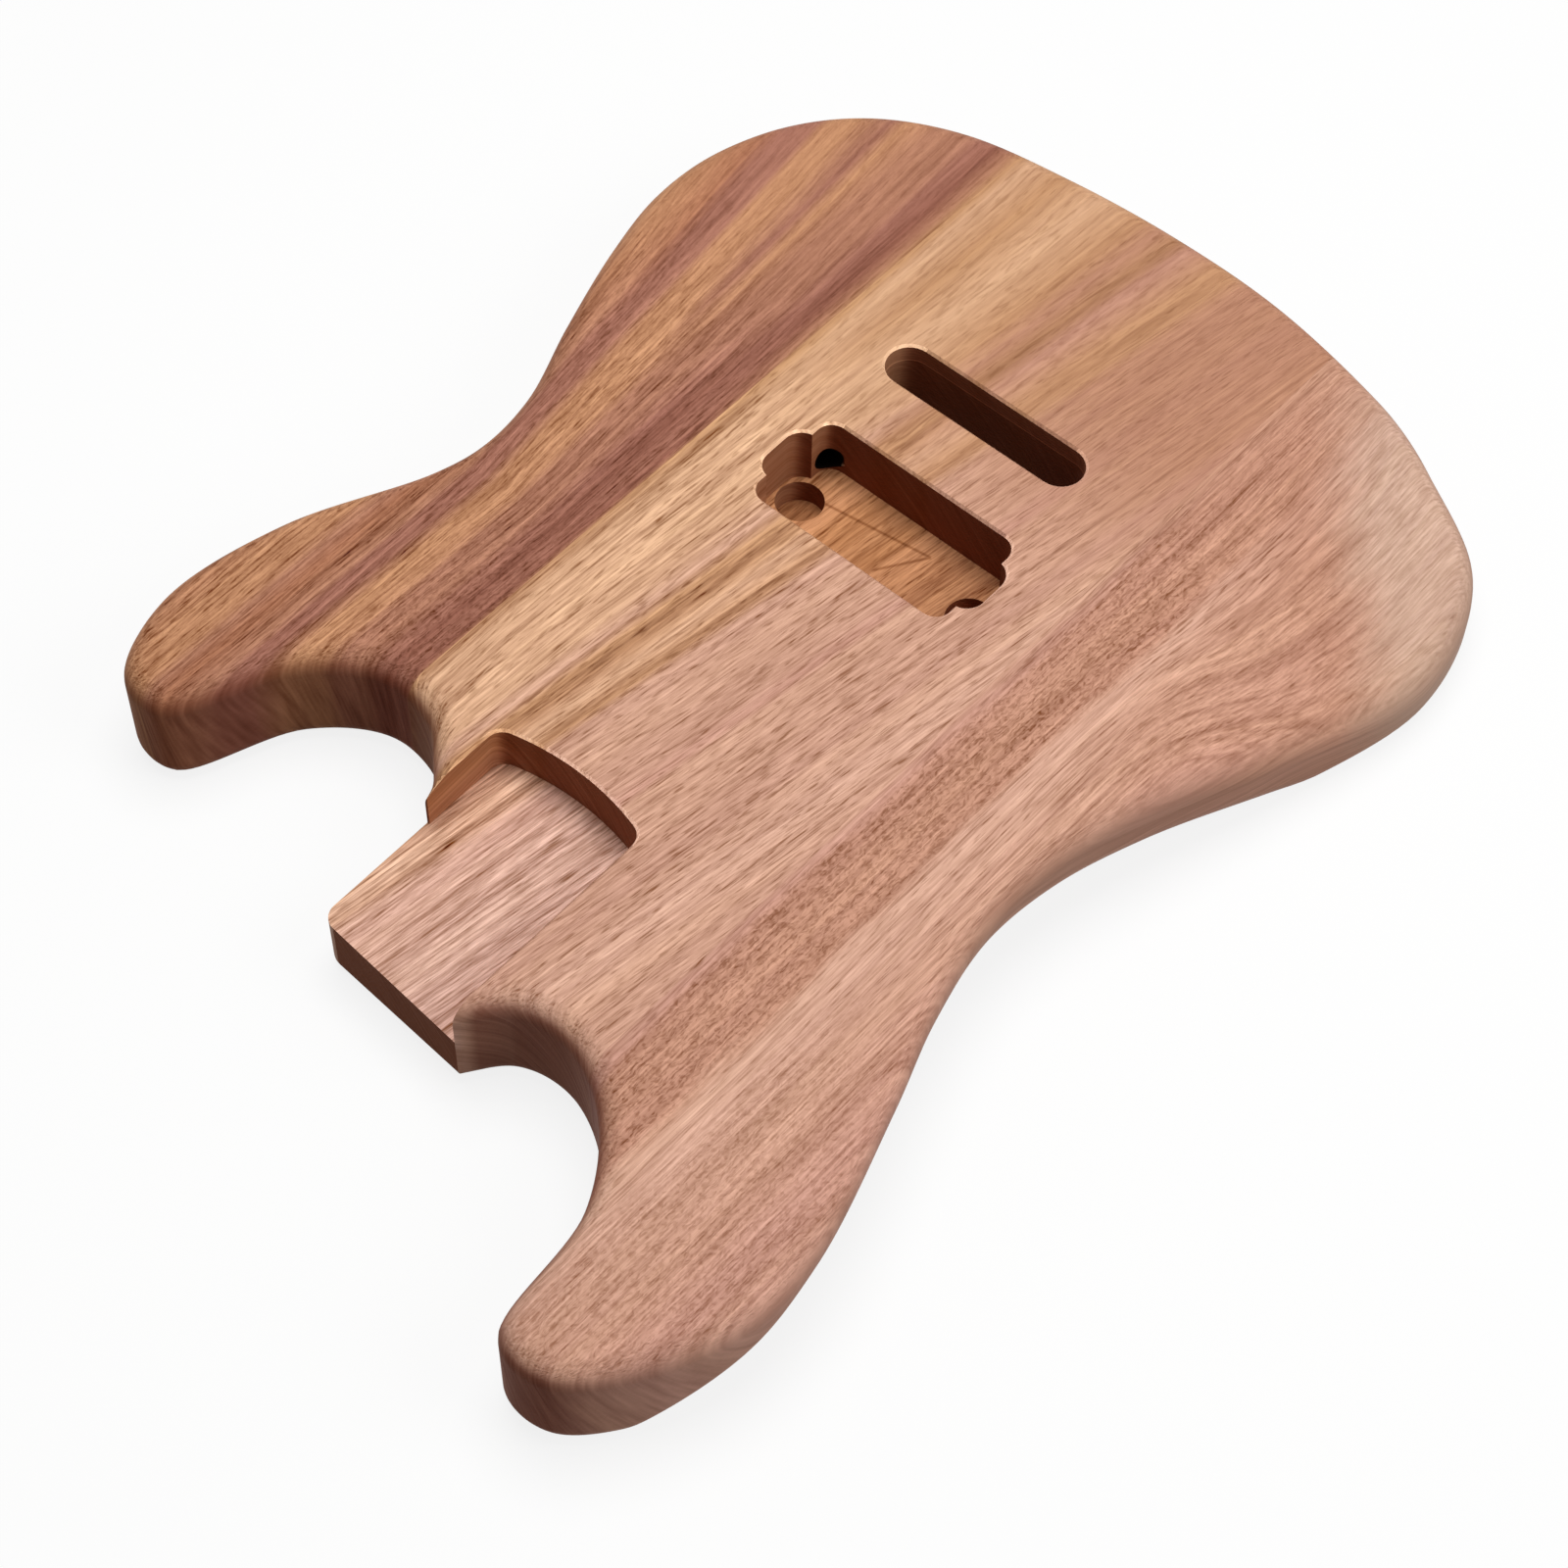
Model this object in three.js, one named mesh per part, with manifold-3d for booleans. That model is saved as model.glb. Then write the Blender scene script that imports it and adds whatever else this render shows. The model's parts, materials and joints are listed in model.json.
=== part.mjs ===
// A solid-wood electric guitar body in the white: three boards glued edge to edge, cut to outline, routed from
// both faces and shaped with a forearm contour on the front and a belly contour on the back.
//
// Millimetres, +Z up through the thickness, with the back face at z = 0. While the body is drawn, x = 0 is the
// centre line of the neck, with the treble side at +X, and y = 0 is the inner end of the neck pocket, with the
// neck towards +Y. The last section moves the whole so that the middle of the outline's box is at the origin.

import * as THREE from 'three';
import * as BufferGeometryUtils from 'three/addons/utils/BufferGeometryUtils.js';
import Module from 'manifold-3d';

const wasm = await Module();
wasm.setup();

// Driving dimensions of the blank

const bodyWidth = 294.8;
const bodyLength = 425.8;
const bodyThickness = 40;
const edgeRadius = 8; // roundover along both faces
const centreBoardWidth = 126;
const trebleGlueLineShare = 0.1967; // from the centre line to the treble-side joint, of the body's width

// Driving dimensions of the neck joint

const pocketWidth = 56;
const pocketDepth = 17;
const pocketEndRadius = 90; // the pocket's inner end is a shallow arc
const pocketCornerRadius = 5.5;
const heelLength = 81.5; // from the pocket's inner end to the front of the heel, on the bass side
const heelSlant = THREE.MathUtils.degToRad(4.4); // the heel's front falls back towards the treble side
const heelCornerRadius = 5.5;
const heelSideProud = 0.8; // the heel's treble side stands this far outside the pocket's wall
const pocketWallLength = 34; // the treble wall ends here, thinned by the cutaway, and the floor runs out to the side

// Driving dimensions of the bridge pickup's cavity

const pickupDistance = 127.9; // from the pocket's inner end to the cavity's middle
const pickupOffset = 5; // the cavity lies this far to the bass side of the centre line
const pickupLength = 37.8;
const pickupWidth = 74.6;
const pickupDepth = 22;
const pickupCornerRadius = 5.5;
const earWidth = 84.9; // over both ears, which take the pickup ring's screws
const earLength = 21.5;
const earCornerRadius = 6.5;
const legSpacing = 68;
const legRadius = 7.8;
const legFloor = 9; // wood left under the two leg holes
const legDistance = 129.4;

// Driving dimensions of the tremolo slot and the cavities behind it

const slotDistance = 179.3;
const slotOffset = 2.2;
const slotWidth = 75.4;
const slotLength = 15.8;
const springFloor = 4; // wood left between the pickup cavity and the spring cavity
const springWidth = 44;
const springReach = 96; // the spring cavity runs this far from the slot towards the neck
const blockWidth = 86;
const blockLength = 34;
const rearCornerRadius = 6;

// Driving dimensions of the control cavity

const controlWidth = 44;
const controlLength = 92;
const controlCornerRadius = 14;
const controlFloor = 7; // wood left at the front
const controlTurn = THREE.MathUtils.degToRad(8);
const coverLedge = 4;
const coverDepth = 2.5;
const controlPlaceShare = [0.312, -0.404]; // of the body's width and length

// Driving dimensions of the wire channels

const leadRadius = 4.4; // from the pickup cavity's corner to the control cavity
const leadCentreHeight = 19;
const leadFall = 8;
const groundRadius = 2; // from the spring cavity to the control cavity
const groundHeight = 7;

// Driving dimensions of the contours: depth at the edge, reach inwards, half the span along the edge

const forearm = { depth: 20, reach: 60, halfSpan: 120, turn: THREE.MathUtils.degToRad(195) };
const belly = { depth: 27, reach: 75, halfSpan: 135, turn: THREE.MathUtils.degToRad(188) };
const contourRunOut = 40; // both contours are cut this far on past the edge
const forearmPlaceShare = [-0.519, -0.423];
const bellyPlaceShare = [-0.441, 0.012];

// Other working values

const overrun = 5; // every cut starts and ends this far outside the wood
const trimMargin = 0.15; // wood left proud of a contour before it is cut
const edgeThicknessShare = 0.45; // the roundover takes at most this share of a thinned edge
const edgeCornerShare = 0.85; // at most this share of the heel's corner radius
const edgeTurnShare = 0.97; // and at most this share of the radius to which the outline turns
const edgeSteps = 5;
const splineSteps = 5;
const cornerSteps = 6;
const arcSteps = 6;
const contourSteps = 24;
const channelSides = 12;

// Outline

// From the heel's bass corner to the tip of the bass horn, as shares of that box
const bassCutawayShares = [[0.133, -0.197], [0.340, -0.243], [0.588, -0.098], [0.813, 0.287], [0.898, 0.920]];

// From the bass horn round the tail to the treble horn, as shares of the body's width and length
const bodyShares = [
  [-0.373, 0.341], [-0.418, 0.336], [-0.471, 0.295], [-0.512, 0.226], [-0.509, 0.160], [-0.463, 0.050],
  [-0.428, -0.019], [-0.405, -0.093], [-0.410, -0.165], [-0.437, -0.240], [-0.485, -0.340], [-0.533, -0.477],
  [-0.490, -0.570], [-0.389, -0.608], [-0.265, -0.636], [-0.135, -0.654], [-0.001, -0.658], [0.135, -0.652],
  [0.271, -0.635], [0.365, -0.600], [0.427, -0.550], [0.462, -0.486], [0.466, -0.427], [0.447, -0.365],
  [0.410, -0.288], [0.372, -0.219], [0.363, -0.167], [0.375, -0.125], [0.442, -0.020], [0.464, 0.077],
  [0.433, 0.138], [0.398, 0.152],
];

// From the treble horn to the heel's side, as shares of the step across to the horn and of the horn's distance
const trebleCutawayShares = [
  [0.872, 0.963], [0.673, 0.413], [0.437, 0.186], [0.208, 0.219], [0.092, 0.351], [0.027, 0.444], [0, 0.532],
];

const bassHeelX = -pocketWidth / 2;
const trebleHeelX = pocketWidth / 2 + heelSideProud;

// The heel's treble corner, rounded between the straight side and the slanted front
function heelCorner() {
  const x = trebleHeelX - heelCornerRadius;
  const fall = heelCornerRadius + Math.sin(heelSlant) * (x - bassHeelX);
  const y = heelLength - fall / Math.cos(heelSlant);
  const points = [];
  for (let i = 0; i <= cornerSteps; i += 1) {
    const turn = (i / cornerSteps) * (Math.PI / 2 - heelSlant);
    points.push(new THREE.Vector2(x + heelCornerRadius * Math.cos(turn), y + heelCornerRadius * Math.sin(turn)));
  }
  return points;
}

// The whole outline, anticlockwise from the heel's sharp bass corner, with the largest roundover for each place
function bodyOutline() {
  const corner = new THREE.Vector3(bassHeelX, heelLength, 0);
  const body = bodyShares.map(([across, along]) => new THREE.Vector3(across * bodyWidth, along * bodyLength, 0));
  const bassHorn = body[0];
  const trebleHorn = body[body.length - 1];
  const bassCutaway = bassCutawayShares.map(([across, along]) => new THREE.Vector3(
    corner.x + across * (bassHorn.x - corner.x),
    corner.y + along * (bassHorn.y - corner.y),
    0,
  ));
  const trebleCutaway = trebleCutawayShares.map(([across, along]) => new THREE.Vector3(
    trebleHeelX + across * (trebleHorn.x - trebleHeelX),
    along * trebleHorn.y,
    0,
  ));
  const knots = [corner, ...bassCutaway, ...body, ...trebleCutaway];
  const curve = new THREE.CatmullRomCurve3(knots, false, 'centripetal');
  const free = curve.getPoints((knots.length - 1) * splineSteps);
  // The wall runs straight from the sharp corner for as far as the mitre of its roundover reaches
  const wall = free.filter((point, i) => i === 0 || point.distanceTo(corner) > edgeRadius);
  const cornerLimit = Math.min(edgeRadius, edgeCornerShare * heelCornerRadius);
  const rounded = heelCorner();
  return {
    places: [...wall.map((point) => new THREE.Vector2(point.x, point.y)), ...rounded],
    limits: [...wall.map(() => edgeRadius), ...rounded.map(() => cornerLimit)],
  };
}

// At each outline point, the step inwards that moves both of its edges in by one unit
function inwardSteps(points) {
  const count = points.length;
  const normals = points.map((point, i) => {
    const along = points[(i + 1) % count].clone().sub(point).normalize();
    return new THREE.Vector2(-along.y, along.x);
  });
  return points.map((point, i) => {
    const before = normals[(i + count - 1) % count];
    return before.clone().add(normals[i]).divideScalar(1 + before.dot(normals[i]));
  });
}

// At each outline point, the radius to which the outline turns on the sharper of its two sides
function turnRadii(points, inwards) {
  const count = points.length;
  const sides = points.map((point, i) => {
    const next = (i + 1) % count;
    const along = points[next].clone().sub(point);
    const gathered = inwards[i].clone().sub(inwards[next]).dot(along);
    return gathered > 0 ? along.lengthSq() / gathered : Infinity;
  });
  return sides.map((radius, i) => Math.min(radius, sides[(i + count - 1) % count]));
}

// Solids and cuts

function toSolid(geometry) {
  const bare = geometry.clone();
  bare.deleteAttribute('normal');
  bare.deleteAttribute('uv');
  const merged = BufferGeometryUtils.mergeVertices(bare);
  const corners = merged.index.array;
  const kept = [];
  for (let i = 0; i < corners.length; i += 3) {
    const [a, b, c] = corners.subarray(i, i + 3);
    if (a !== b && b !== c && c !== a) kept.push(a, b, c);
  }
  const vertProperties = Float32Array.from(merged.attributes.position.array);
  return new wasm.Manifold(new wasm.Mesh({ numProp: 3, vertProperties, triVerts: Uint32Array.from(kept) }));
}

function toGeometry(solid) {
  const mesh = solid.getMesh();
  const geometry = new THREE.BufferGeometry();
  geometry.setAttribute('position', new THREE.BufferAttribute(mesh.vertProperties, mesh.numProp));
  geometry.setIndex(new THREE.BufferAttribute(mesh.triVerts, 1));
  geometry.computeVertexNormals();
  return geometry;
}

// A closed skin over a stack of rings with the same number of points, from the lowest to the highest
function loft(rings) {
  const count = rings[0].length;
  const positions = rings.flat().flatMap((p) => [p.x, p.y, p.z]);
  const faces = [];
  for (let ring = 0; ring < rings.length - 1; ring += 1) {
    for (let i = 0; i < count; i += 1) {
      const here = ring * count + i;
      const next = ring * count + (i + 1) % count;
      faces.push(here, next, next + count, here, next + count, here + count);
    }
  }
  const flat = (ring) => ring.map((p) => new THREE.Vector2(p.x, p.y));
  const top = (rings.length - 1) * count;
  for (const [a, b, c] of THREE.ShapeUtils.triangulateShape(flat(rings[0]), [])) faces.push(a, c, b);
  for (const [a, b, c] of THREE.ShapeUtils.triangulateShape(flat(rings[rings.length - 1]), [])) {
    faces.push(top + a, top + b, top + c);
  }
  const geometry = new THREE.BufferGeometry();
  geometry.setAttribute('position', new THREE.Float32BufferAttribute(positions, 3));
  geometry.setIndex(faces);
  return geometry;
}

function prism(shape, from, to) {
  const settings = { depth: to - from, bevelEnabled: false, curveSegments: arcSteps };
  return toSolid(new THREE.ExtrudeGeometry(shape, settings).translate(0, 0, from));
}

function roundedRectangle(x, y, width, length, radius) {
  const across = width / 2 - radius;
  const along = length / 2 - radius;
  const shape = new THREE.Shape();
  shape.absarc(x + across, y - along, radius, -Math.PI / 2, 0, false);
  shape.absarc(x + across, y + along, radius, 0, Math.PI / 2, false);
  shape.absarc(x - across, y + along, radius, Math.PI / 2, Math.PI, false);
  shape.absarc(x - across, y - along, radius, Math.PI, Math.PI * 1.5, false);
  return shape;
}

// A straight round hole between two points
function channel(from, to, radius) {
  const along = to.clone().sub(from);
  const geometry = new THREE.CylinderGeometry(radius, radius, along.length(), channelSides);
  const up = new THREE.Vector3(0, 1, 0);
  geometry.applyQuaternion(new THREE.Quaternion().setFromUnitVectors(up, along.clone().normalize()));
  geometry.translate(...from.clone().add(to).divideScalar(2).toArray());
  return toSolid(geometry);
}

// Contours: each is part of a large cylinder that dips outwards and down over the edge

function contour(size, placeShare, face) {
  return {
    ...size,
    face, // 1 on the front, -1 on the back
    x: placeShare[0] * bodyWidth,
    y: placeShare[1] * bodyLength,
    radius: size.halfSpan ** 2 / (2 * size.depth) + size.depth / 2,
    tilt: Math.atan(size.depth / size.reach),
  };
}

// How deep a contour lies under its face at a place on the outline
function contourDepth(c, place) {
  const dx = place.x - c.x;
  const dy = place.y - c.y;
  const outwards = dx * Math.cos(c.turn) + dy * Math.sin(c.turn);
  const sideways = dy * Math.cos(c.turn) - dx * Math.sin(c.turn);
  const rise = c.radius - Math.sqrt(Math.max(c.radius ** 2 - sideways ** 2, 0));
  return Math.max(c.depth + outwards * Math.tan(c.tilt) - rise / Math.cos(c.tilt), 0);
}

function contourCutter(c) {
  const height = (c.depth + contourRunOut * Math.tan(c.tilt)) * Math.cos(c.tilt) + overrun;
  const half = Math.acos(1 - height / c.radius);
  const section = new THREE.Shape();
  section.absarc(0, c.radius, c.radius, -Math.PI / 2 - half, -Math.PI / 2 + half, false);
  const start = (c.reach + overrun) / Math.cos(c.tilt);
  const run = start + contourRunOut / Math.cos(c.tilt);
  const geometry = new THREE.ExtrudeGeometry(section, { depth: run, bevelEnabled: false, curveSegments: contourSteps });
  const cos = Math.cos(c.tilt);
  const sin = Math.sin(c.tilt);
  const out = new THREE.Vector2(Math.cos(c.turn), Math.sin(c.turn));
  const sideAxis = new THREE.Vector3(-out.y * c.face, out.x * c.face, 0);
  const liftAxis = new THREE.Vector3(out.x * sin, out.y * sin, c.face * cos);
  const runAxis = new THREE.Vector3(out.x * cos, out.y * cos, -c.face * sin);
  const faceHeight = c.face > 0 ? bodyThickness : 0;
  const edge = new THREE.Vector3(c.x, c.y, faceHeight - c.face * c.depth);
  const placed = new THREE.Matrix4().makeBasis(sideAxis, liftAxis, runAxis);
  placed.setPosition(edge.addScaledVector(runAxis, -start));
  return toSolid(geometry.applyMatrix4(placed));
}

const forearmContour = contour(forearm, forearmPlaceShare, 1);
const bellyContour = contour(belly, bellyPlaceShare, -1);

// The blank: flat faces, rounded edges that follow the contours, then the contours themselves

function blank({ places, limits }) {
  const inwards = inwardSteps(places);
  const turns = turnRadii(places, inwards);
  const radii = places.map((place, i) => {
    const left = bodyThickness - contourDepth(forearmContour, place) - contourDepth(bellyContour, place);
    return Math.min(limits[i], edgeThicknessShare * left, edgeTurnShare * turns[i]);
  });
  const ring = (step, heightAt) => places.map((place, i) => {
    const turn = (step / edgeSteps) * (Math.PI / 2);
    const inset = place.clone().addScaledVector(inwards[i], radii[i] * (1 - Math.cos(turn)));
    return new THREE.Vector3(inset.x, inset.y, heightAt(inset, radii[i] * (1 - Math.sin(turn))));
  });
  const back = (place, drop) => contourDepth(bellyContour, place) + drop;
  const front = (place, drop) => bodyThickness - contourDepth(forearmContour, place) - drop;
  const rings = [ring(edgeSteps, () => 0)];
  rings.push(ring(edgeSteps, (place) => Math.max(back(place, -trimMargin), 0)));
  for (let step = edgeSteps - 1; step >= 0; step -= 1) rings.push(ring(step, back));
  for (let step = 0; step < edgeSteps; step += 1) rings.push(ring(step, front));
  rings.push(ring(edgeSteps, (place) => Math.min(front(place, -trimMargin), bodyThickness)));
  rings.push(ring(edgeSteps, () => bodyThickness));
  return toSolid(loft(rings))
    .subtract(contourCutter(forearmContour))
    .subtract(contourCutter(bellyContour));
}

// Cuts from the front

function neckPocket() {
  const half = pocketWidth / 2;
  const x = half - pocketCornerRadius;
  const inner = pocketEndRadius - pocketCornerRadius;
  const y = pocketEndRadius - Math.sqrt(inner ** 2 - x ** 2);
  const turn = Math.atan2(x, pocketEndRadius - y);
  const shape = new THREE.Shape();
  shape.absarc(-x, y, pocketCornerRadius, -Math.PI, -Math.PI / 2 - turn, false);
  shape.absarc(0, pocketEndRadius, pocketEndRadius, -Math.PI / 2 - turn, -Math.PI / 2 + turn, false);
  shape.absarc(x, y, pocketCornerRadius, -Math.PI / 2 + turn, 0, false);
  shape.lineTo(half, pocketWallLength);
  shape.lineTo(trebleHeelX + overrun, pocketWallLength);
  shape.lineTo(trebleHeelX + overrun, heelLength + overrun);
  shape.lineTo(-half, heelLength + overrun);
  return prism(shape, bodyThickness - pocketDepth, bodyThickness + overrun);
}

function pickupCavity() {
  const top = bodyThickness + overrun;
  const floor = bodyThickness - pickupDepth;
  const x = -pickupOffset;
  const main = roundedRectangle(x, -pickupDistance, pickupWidth, pickupLength, pickupCornerRadius);
  const ears = roundedRectangle(x, -pickupDistance, earWidth, earLength, earCornerRadius);
  let cut = prism(main, floor, top).add(prism(ears, floor, top));
  for (const side of [-1, 1]) {
    const leg = new THREE.Shape();
    leg.absarc(x + side * legSpacing / 2, -legDistance, legRadius, 0, Math.PI * 2, false);
    cut = cut.add(prism(leg, legFloor, top - overrun - pickupDepth / 2));
  }
  return cut;
}

function tremoloSlot() {
  const shape = roundedRectangle(-slotOffset, -slotDistance, slotWidth, slotLength, slotLength / 2);
  return prism(shape, -overrun, bodyThickness + overrun);
}

// Cuts from the back

const rearDepth = bodyThickness - pickupDepth - springFloor;
const springNeckEnd = -slotDistance + springReach;

function springCavity() {
  const middle = -slotDistance + springReach / 2;
  const springs = roundedRectangle(-slotOffset, middle, springWidth, springReach, rearCornerRadius);
  const block = roundedRectangle(-slotOffset, -slotDistance, blockWidth, blockLength, rearCornerRadius);
  return prism(springs, -overrun, rearDepth).add(prism(block, -overrun, rearDepth));
}

const controlX = controlPlaceShare[0] * bodyWidth;
const controlY = controlPlaceShare[1] * bodyLength;

function controlCavity() {
  const place = new THREE.Matrix4().makeRotationZ(controlTurn).setPosition(controlX, controlY, 0);
  const recess = (grow, depth) => {
    const shape = roundedRectangle(
      0,
      0,
      controlWidth + 2 * grow,
      controlLength + 2 * grow,
      controlCornerRadius + grow,
    );
    return prism(shape, -overrun, depth).transform(place.toArray());
  };
  return recess(0, bodyThickness - controlFloor).add(recess(coverLedge, coverDepth));
}

function wireChannels() {
  const corner = new THREE.Vector3(
    -pickupOffset + (pickupWidth - pickupCornerRadius) / 2,
    -pickupDistance - (pickupLength - pickupCornerRadius) / 2,
    leadCentreHeight,
  );
  const leadEnd = new THREE.Vector3(controlX, controlY, leadCentreHeight - leadFall);
  const leadAlong = leadEnd.clone().sub(corner).normalize();
  const leadStart = corner.addScaledVector(leadAlong, -leadRadius / 2);
  const groundStart = new THREE.Vector3(
    -slotOffset + springWidth / 2 - rearCornerRadius,
    springNeckEnd - 2 * rearCornerRadius,
    groundHeight,
  );
  const groundEnd = new THREE.Vector3(controlX, controlY + controlLength / 4, groundHeight);
  return channel(leadStart, leadEnd, leadRadius).add(channel(groundStart, groundEnd, groundRadius));
}

// Boards: the routed body, parted at the two glue lines

const outline = bodyOutline();
const box = new THREE.Box2().setFromPoints(outline.places);

function slab(fromX, toX) {
  const shape = new THREE.Shape();
  shape.moveTo(fromX, box.min.y - overrun);
  shape.lineTo(toX, box.min.y - overrun);
  shape.lineTo(toX, box.max.y + overrun);
  shape.lineTo(fromX, box.max.y + overrun);
  return prism(shape, -overrun, bodyThickness + overrun);
}

const body = blank(outline)
  .subtract(neckPocket())
  .subtract(pickupCavity())
  .subtract(tremoloSlot())
  .subtract(springCavity())
  .subtract(controlCavity())
  .subtract(wireChannels());

const trebleGlueLine = trebleGlueLineShare * bodyWidth;
const bassGlueLine = trebleGlueLine - centreBoardWidth;
const boards = [
  { name: 'bass_side_board', from: box.min.x - overrun, to: bassGlueLine, color: 0xcf9f85, roughness: 0.78 },
  { name: 'centre_board', from: bassGlueLine, to: trebleGlueLine, color: 0xd3a384, roughness: 0.74 },
  { name: 'treble_side_board', from: trebleGlueLine, to: box.max.x + overrun, color: 0xa87257, roughness: 0.76 },
];

// The finished part, with the middle of the outline's box on the origin

const part = new THREE.Group();
part.name = 'guitar_body';
const middle = box.getCenter(new THREE.Vector2());
for (const board of boards) {
  const geometry = toGeometry(body.intersect(slab(board.from, board.to)));
  const material = new THREE.MeshStandardMaterial({ color: board.color, roughness: board.roughness, metalness: 0 });
  const mesh = new THREE.Mesh(geometry, material);
  mesh.name = board.name;
  mesh.position.set(-middle.x, -middle.y, 0);
  part.add(mesh);
}

export default part;
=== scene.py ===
"""Looks for a bare-wood electric guitar body: three glued boards with routed cavities, on a pale floor.

Lengths are metres in the row frame: +X towards the treble side, +Y towards the neck, +Z up to the front face.
"""

import json
import math

import bmesh
import bpy
import numpy as np
from bpy.props import FloatProperty, FloatVectorProperty, PointerProperty
from mathutils import Matrix, Vector
from mathutils.geometry import delaunay_2d_cdt

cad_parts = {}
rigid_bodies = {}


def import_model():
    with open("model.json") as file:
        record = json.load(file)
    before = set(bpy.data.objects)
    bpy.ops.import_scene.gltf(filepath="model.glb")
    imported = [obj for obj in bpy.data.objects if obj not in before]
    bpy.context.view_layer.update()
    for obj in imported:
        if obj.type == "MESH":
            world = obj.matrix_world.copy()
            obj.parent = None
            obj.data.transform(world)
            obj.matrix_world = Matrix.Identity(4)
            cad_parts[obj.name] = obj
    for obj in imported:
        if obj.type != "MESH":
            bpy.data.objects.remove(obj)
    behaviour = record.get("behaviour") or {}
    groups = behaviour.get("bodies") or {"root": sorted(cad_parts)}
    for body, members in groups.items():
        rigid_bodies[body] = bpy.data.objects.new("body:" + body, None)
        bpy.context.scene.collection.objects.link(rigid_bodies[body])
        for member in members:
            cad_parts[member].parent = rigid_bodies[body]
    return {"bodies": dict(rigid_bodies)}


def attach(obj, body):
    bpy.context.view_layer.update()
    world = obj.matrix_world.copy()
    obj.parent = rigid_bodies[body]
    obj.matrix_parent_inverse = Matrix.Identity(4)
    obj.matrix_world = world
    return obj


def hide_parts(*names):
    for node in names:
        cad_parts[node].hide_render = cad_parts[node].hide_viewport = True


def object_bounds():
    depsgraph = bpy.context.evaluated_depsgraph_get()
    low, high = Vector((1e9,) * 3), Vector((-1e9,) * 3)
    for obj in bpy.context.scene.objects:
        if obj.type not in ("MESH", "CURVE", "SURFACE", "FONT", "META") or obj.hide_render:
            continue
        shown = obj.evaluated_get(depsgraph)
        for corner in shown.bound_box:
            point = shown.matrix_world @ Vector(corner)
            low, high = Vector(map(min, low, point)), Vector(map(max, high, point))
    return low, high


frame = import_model()
CAD_BOX = [list(corner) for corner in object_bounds()]
BODY = next(iter(frame["bodies"]))

bl_info = {
    "name": "Electric guitar body in bare wood",
    "version": (1, 0, 0),
    "blender": (4, 5, 0),
    "location": "View3D > Sidebar > Guitar body",
    "description": "Builds the three boards of a routed guitar body with their wood, and a studio to see it in",
    "category": "Object",
}


def linear(code):
    """The linear colour for a six-digit hexadecimal screen colour."""
    parts = [int(code[i : i + 2], 16) / 255 for i in (0, 2, 4)]
    return tuple(p / 12.92 if p <= 0.04045 else ((p + 0.055) / 1.055) ** 2.4 for p in parts)


def length(label, default, note):
    """A size in metres."""
    kind = {"subtype": "DISTANCE", "unit": "LENGTH", "precision": 5}
    return FloatProperty(name=label, description=note, default=default, **kind)


def turn(label, degrees, note):
    """An angle, given in degrees."""
    kind = {"subtype": "ANGLE", "unit": "ROTATION"}
    return FloatProperty(name=label, description=note, default=math.radians(degrees), **kind)


def tint(label, code, note):
    """A colour, given as a six-digit hexadecimal screen colour."""
    kind = {"subtype": "COLOR", "min": 0, "max": 1}
    return FloatVectorProperty(name=label, description=note, default=linear(code), **kind)


MM = 1000  # millimetres in a metre

# Meshes
EDGE_OF_HEEL = 0.85  # largest roundover, as a share of the heel corner's radius
EDGE_OF_HEIGHT = 0.45  # and of the height between the two contours
EDGE_OF_TURN = 0.94  # and of the radius to which the outline turns
WIDEST_TURN = 0.05  # a wider turn counts as this
NEIGHBOURS = range(-4, 5)  # the points of the outline over which it is evened out
GRID_GAP = 0.4  # least gap between a face's inner points and its ring, as a share of their pitch
SAME_POINT = 1e-6  # nearer points are one
SLOT_END_SHORT = 1e-5  # keeps a short straight at the slot's round ends
LEG_SIDES = 36
DRILL_SIDES = 32
STOCK_LENGTHS, STOCK_THICKNESSES = 3, 4  # size of the sawn stock, in lengths and thicknesses of the body
SHARP_ANGLE = math.radians(28)

# Faces that a tool has cut
LEVEL_FACE = 0.8  # a face is level where its normal points up or down by more
LEVEL_SLACK = 1.2e-3  # how far inside the blank such a face lies at least
UPRIGHT_SLACK = 2e-4  # and any other face
POCKET_SLACK = 1e-4  # how far under the pocket's floor a face still belongs to it
ROUNDED_EDGES = 1.6  # how far from the outline the rounded edge may reach, in its radii
FACES_AT_ONCE = 2000

# Looks
GRAIN_PARTS = ("Drift", "Lines", "Fibres", "Pores")
# The two pencil strokes on the pickup cavity's floor, from end to end, in millimetres
STROKES = (((-15.3, -139.5), (24, -133.7)), ((-15.3, -139.5), (-4.5, -123)))
HOLE_SHADE = (0.006, 0.003, 0.002)
WHITE = (1, 1, 1, 1)
FLOOR_REACH = 6
FLOOR_SHADE = (0.3, 0.29, 0.28)  # the floor's colour in the light that it throws on the body
FLOOR_GLOW = 0.84  # share of even white in the floor that the camera sees
SENSOR_WIDTH = 36


# The outline and other places, as shares of the body's width and length, named as in the part's source

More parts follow.
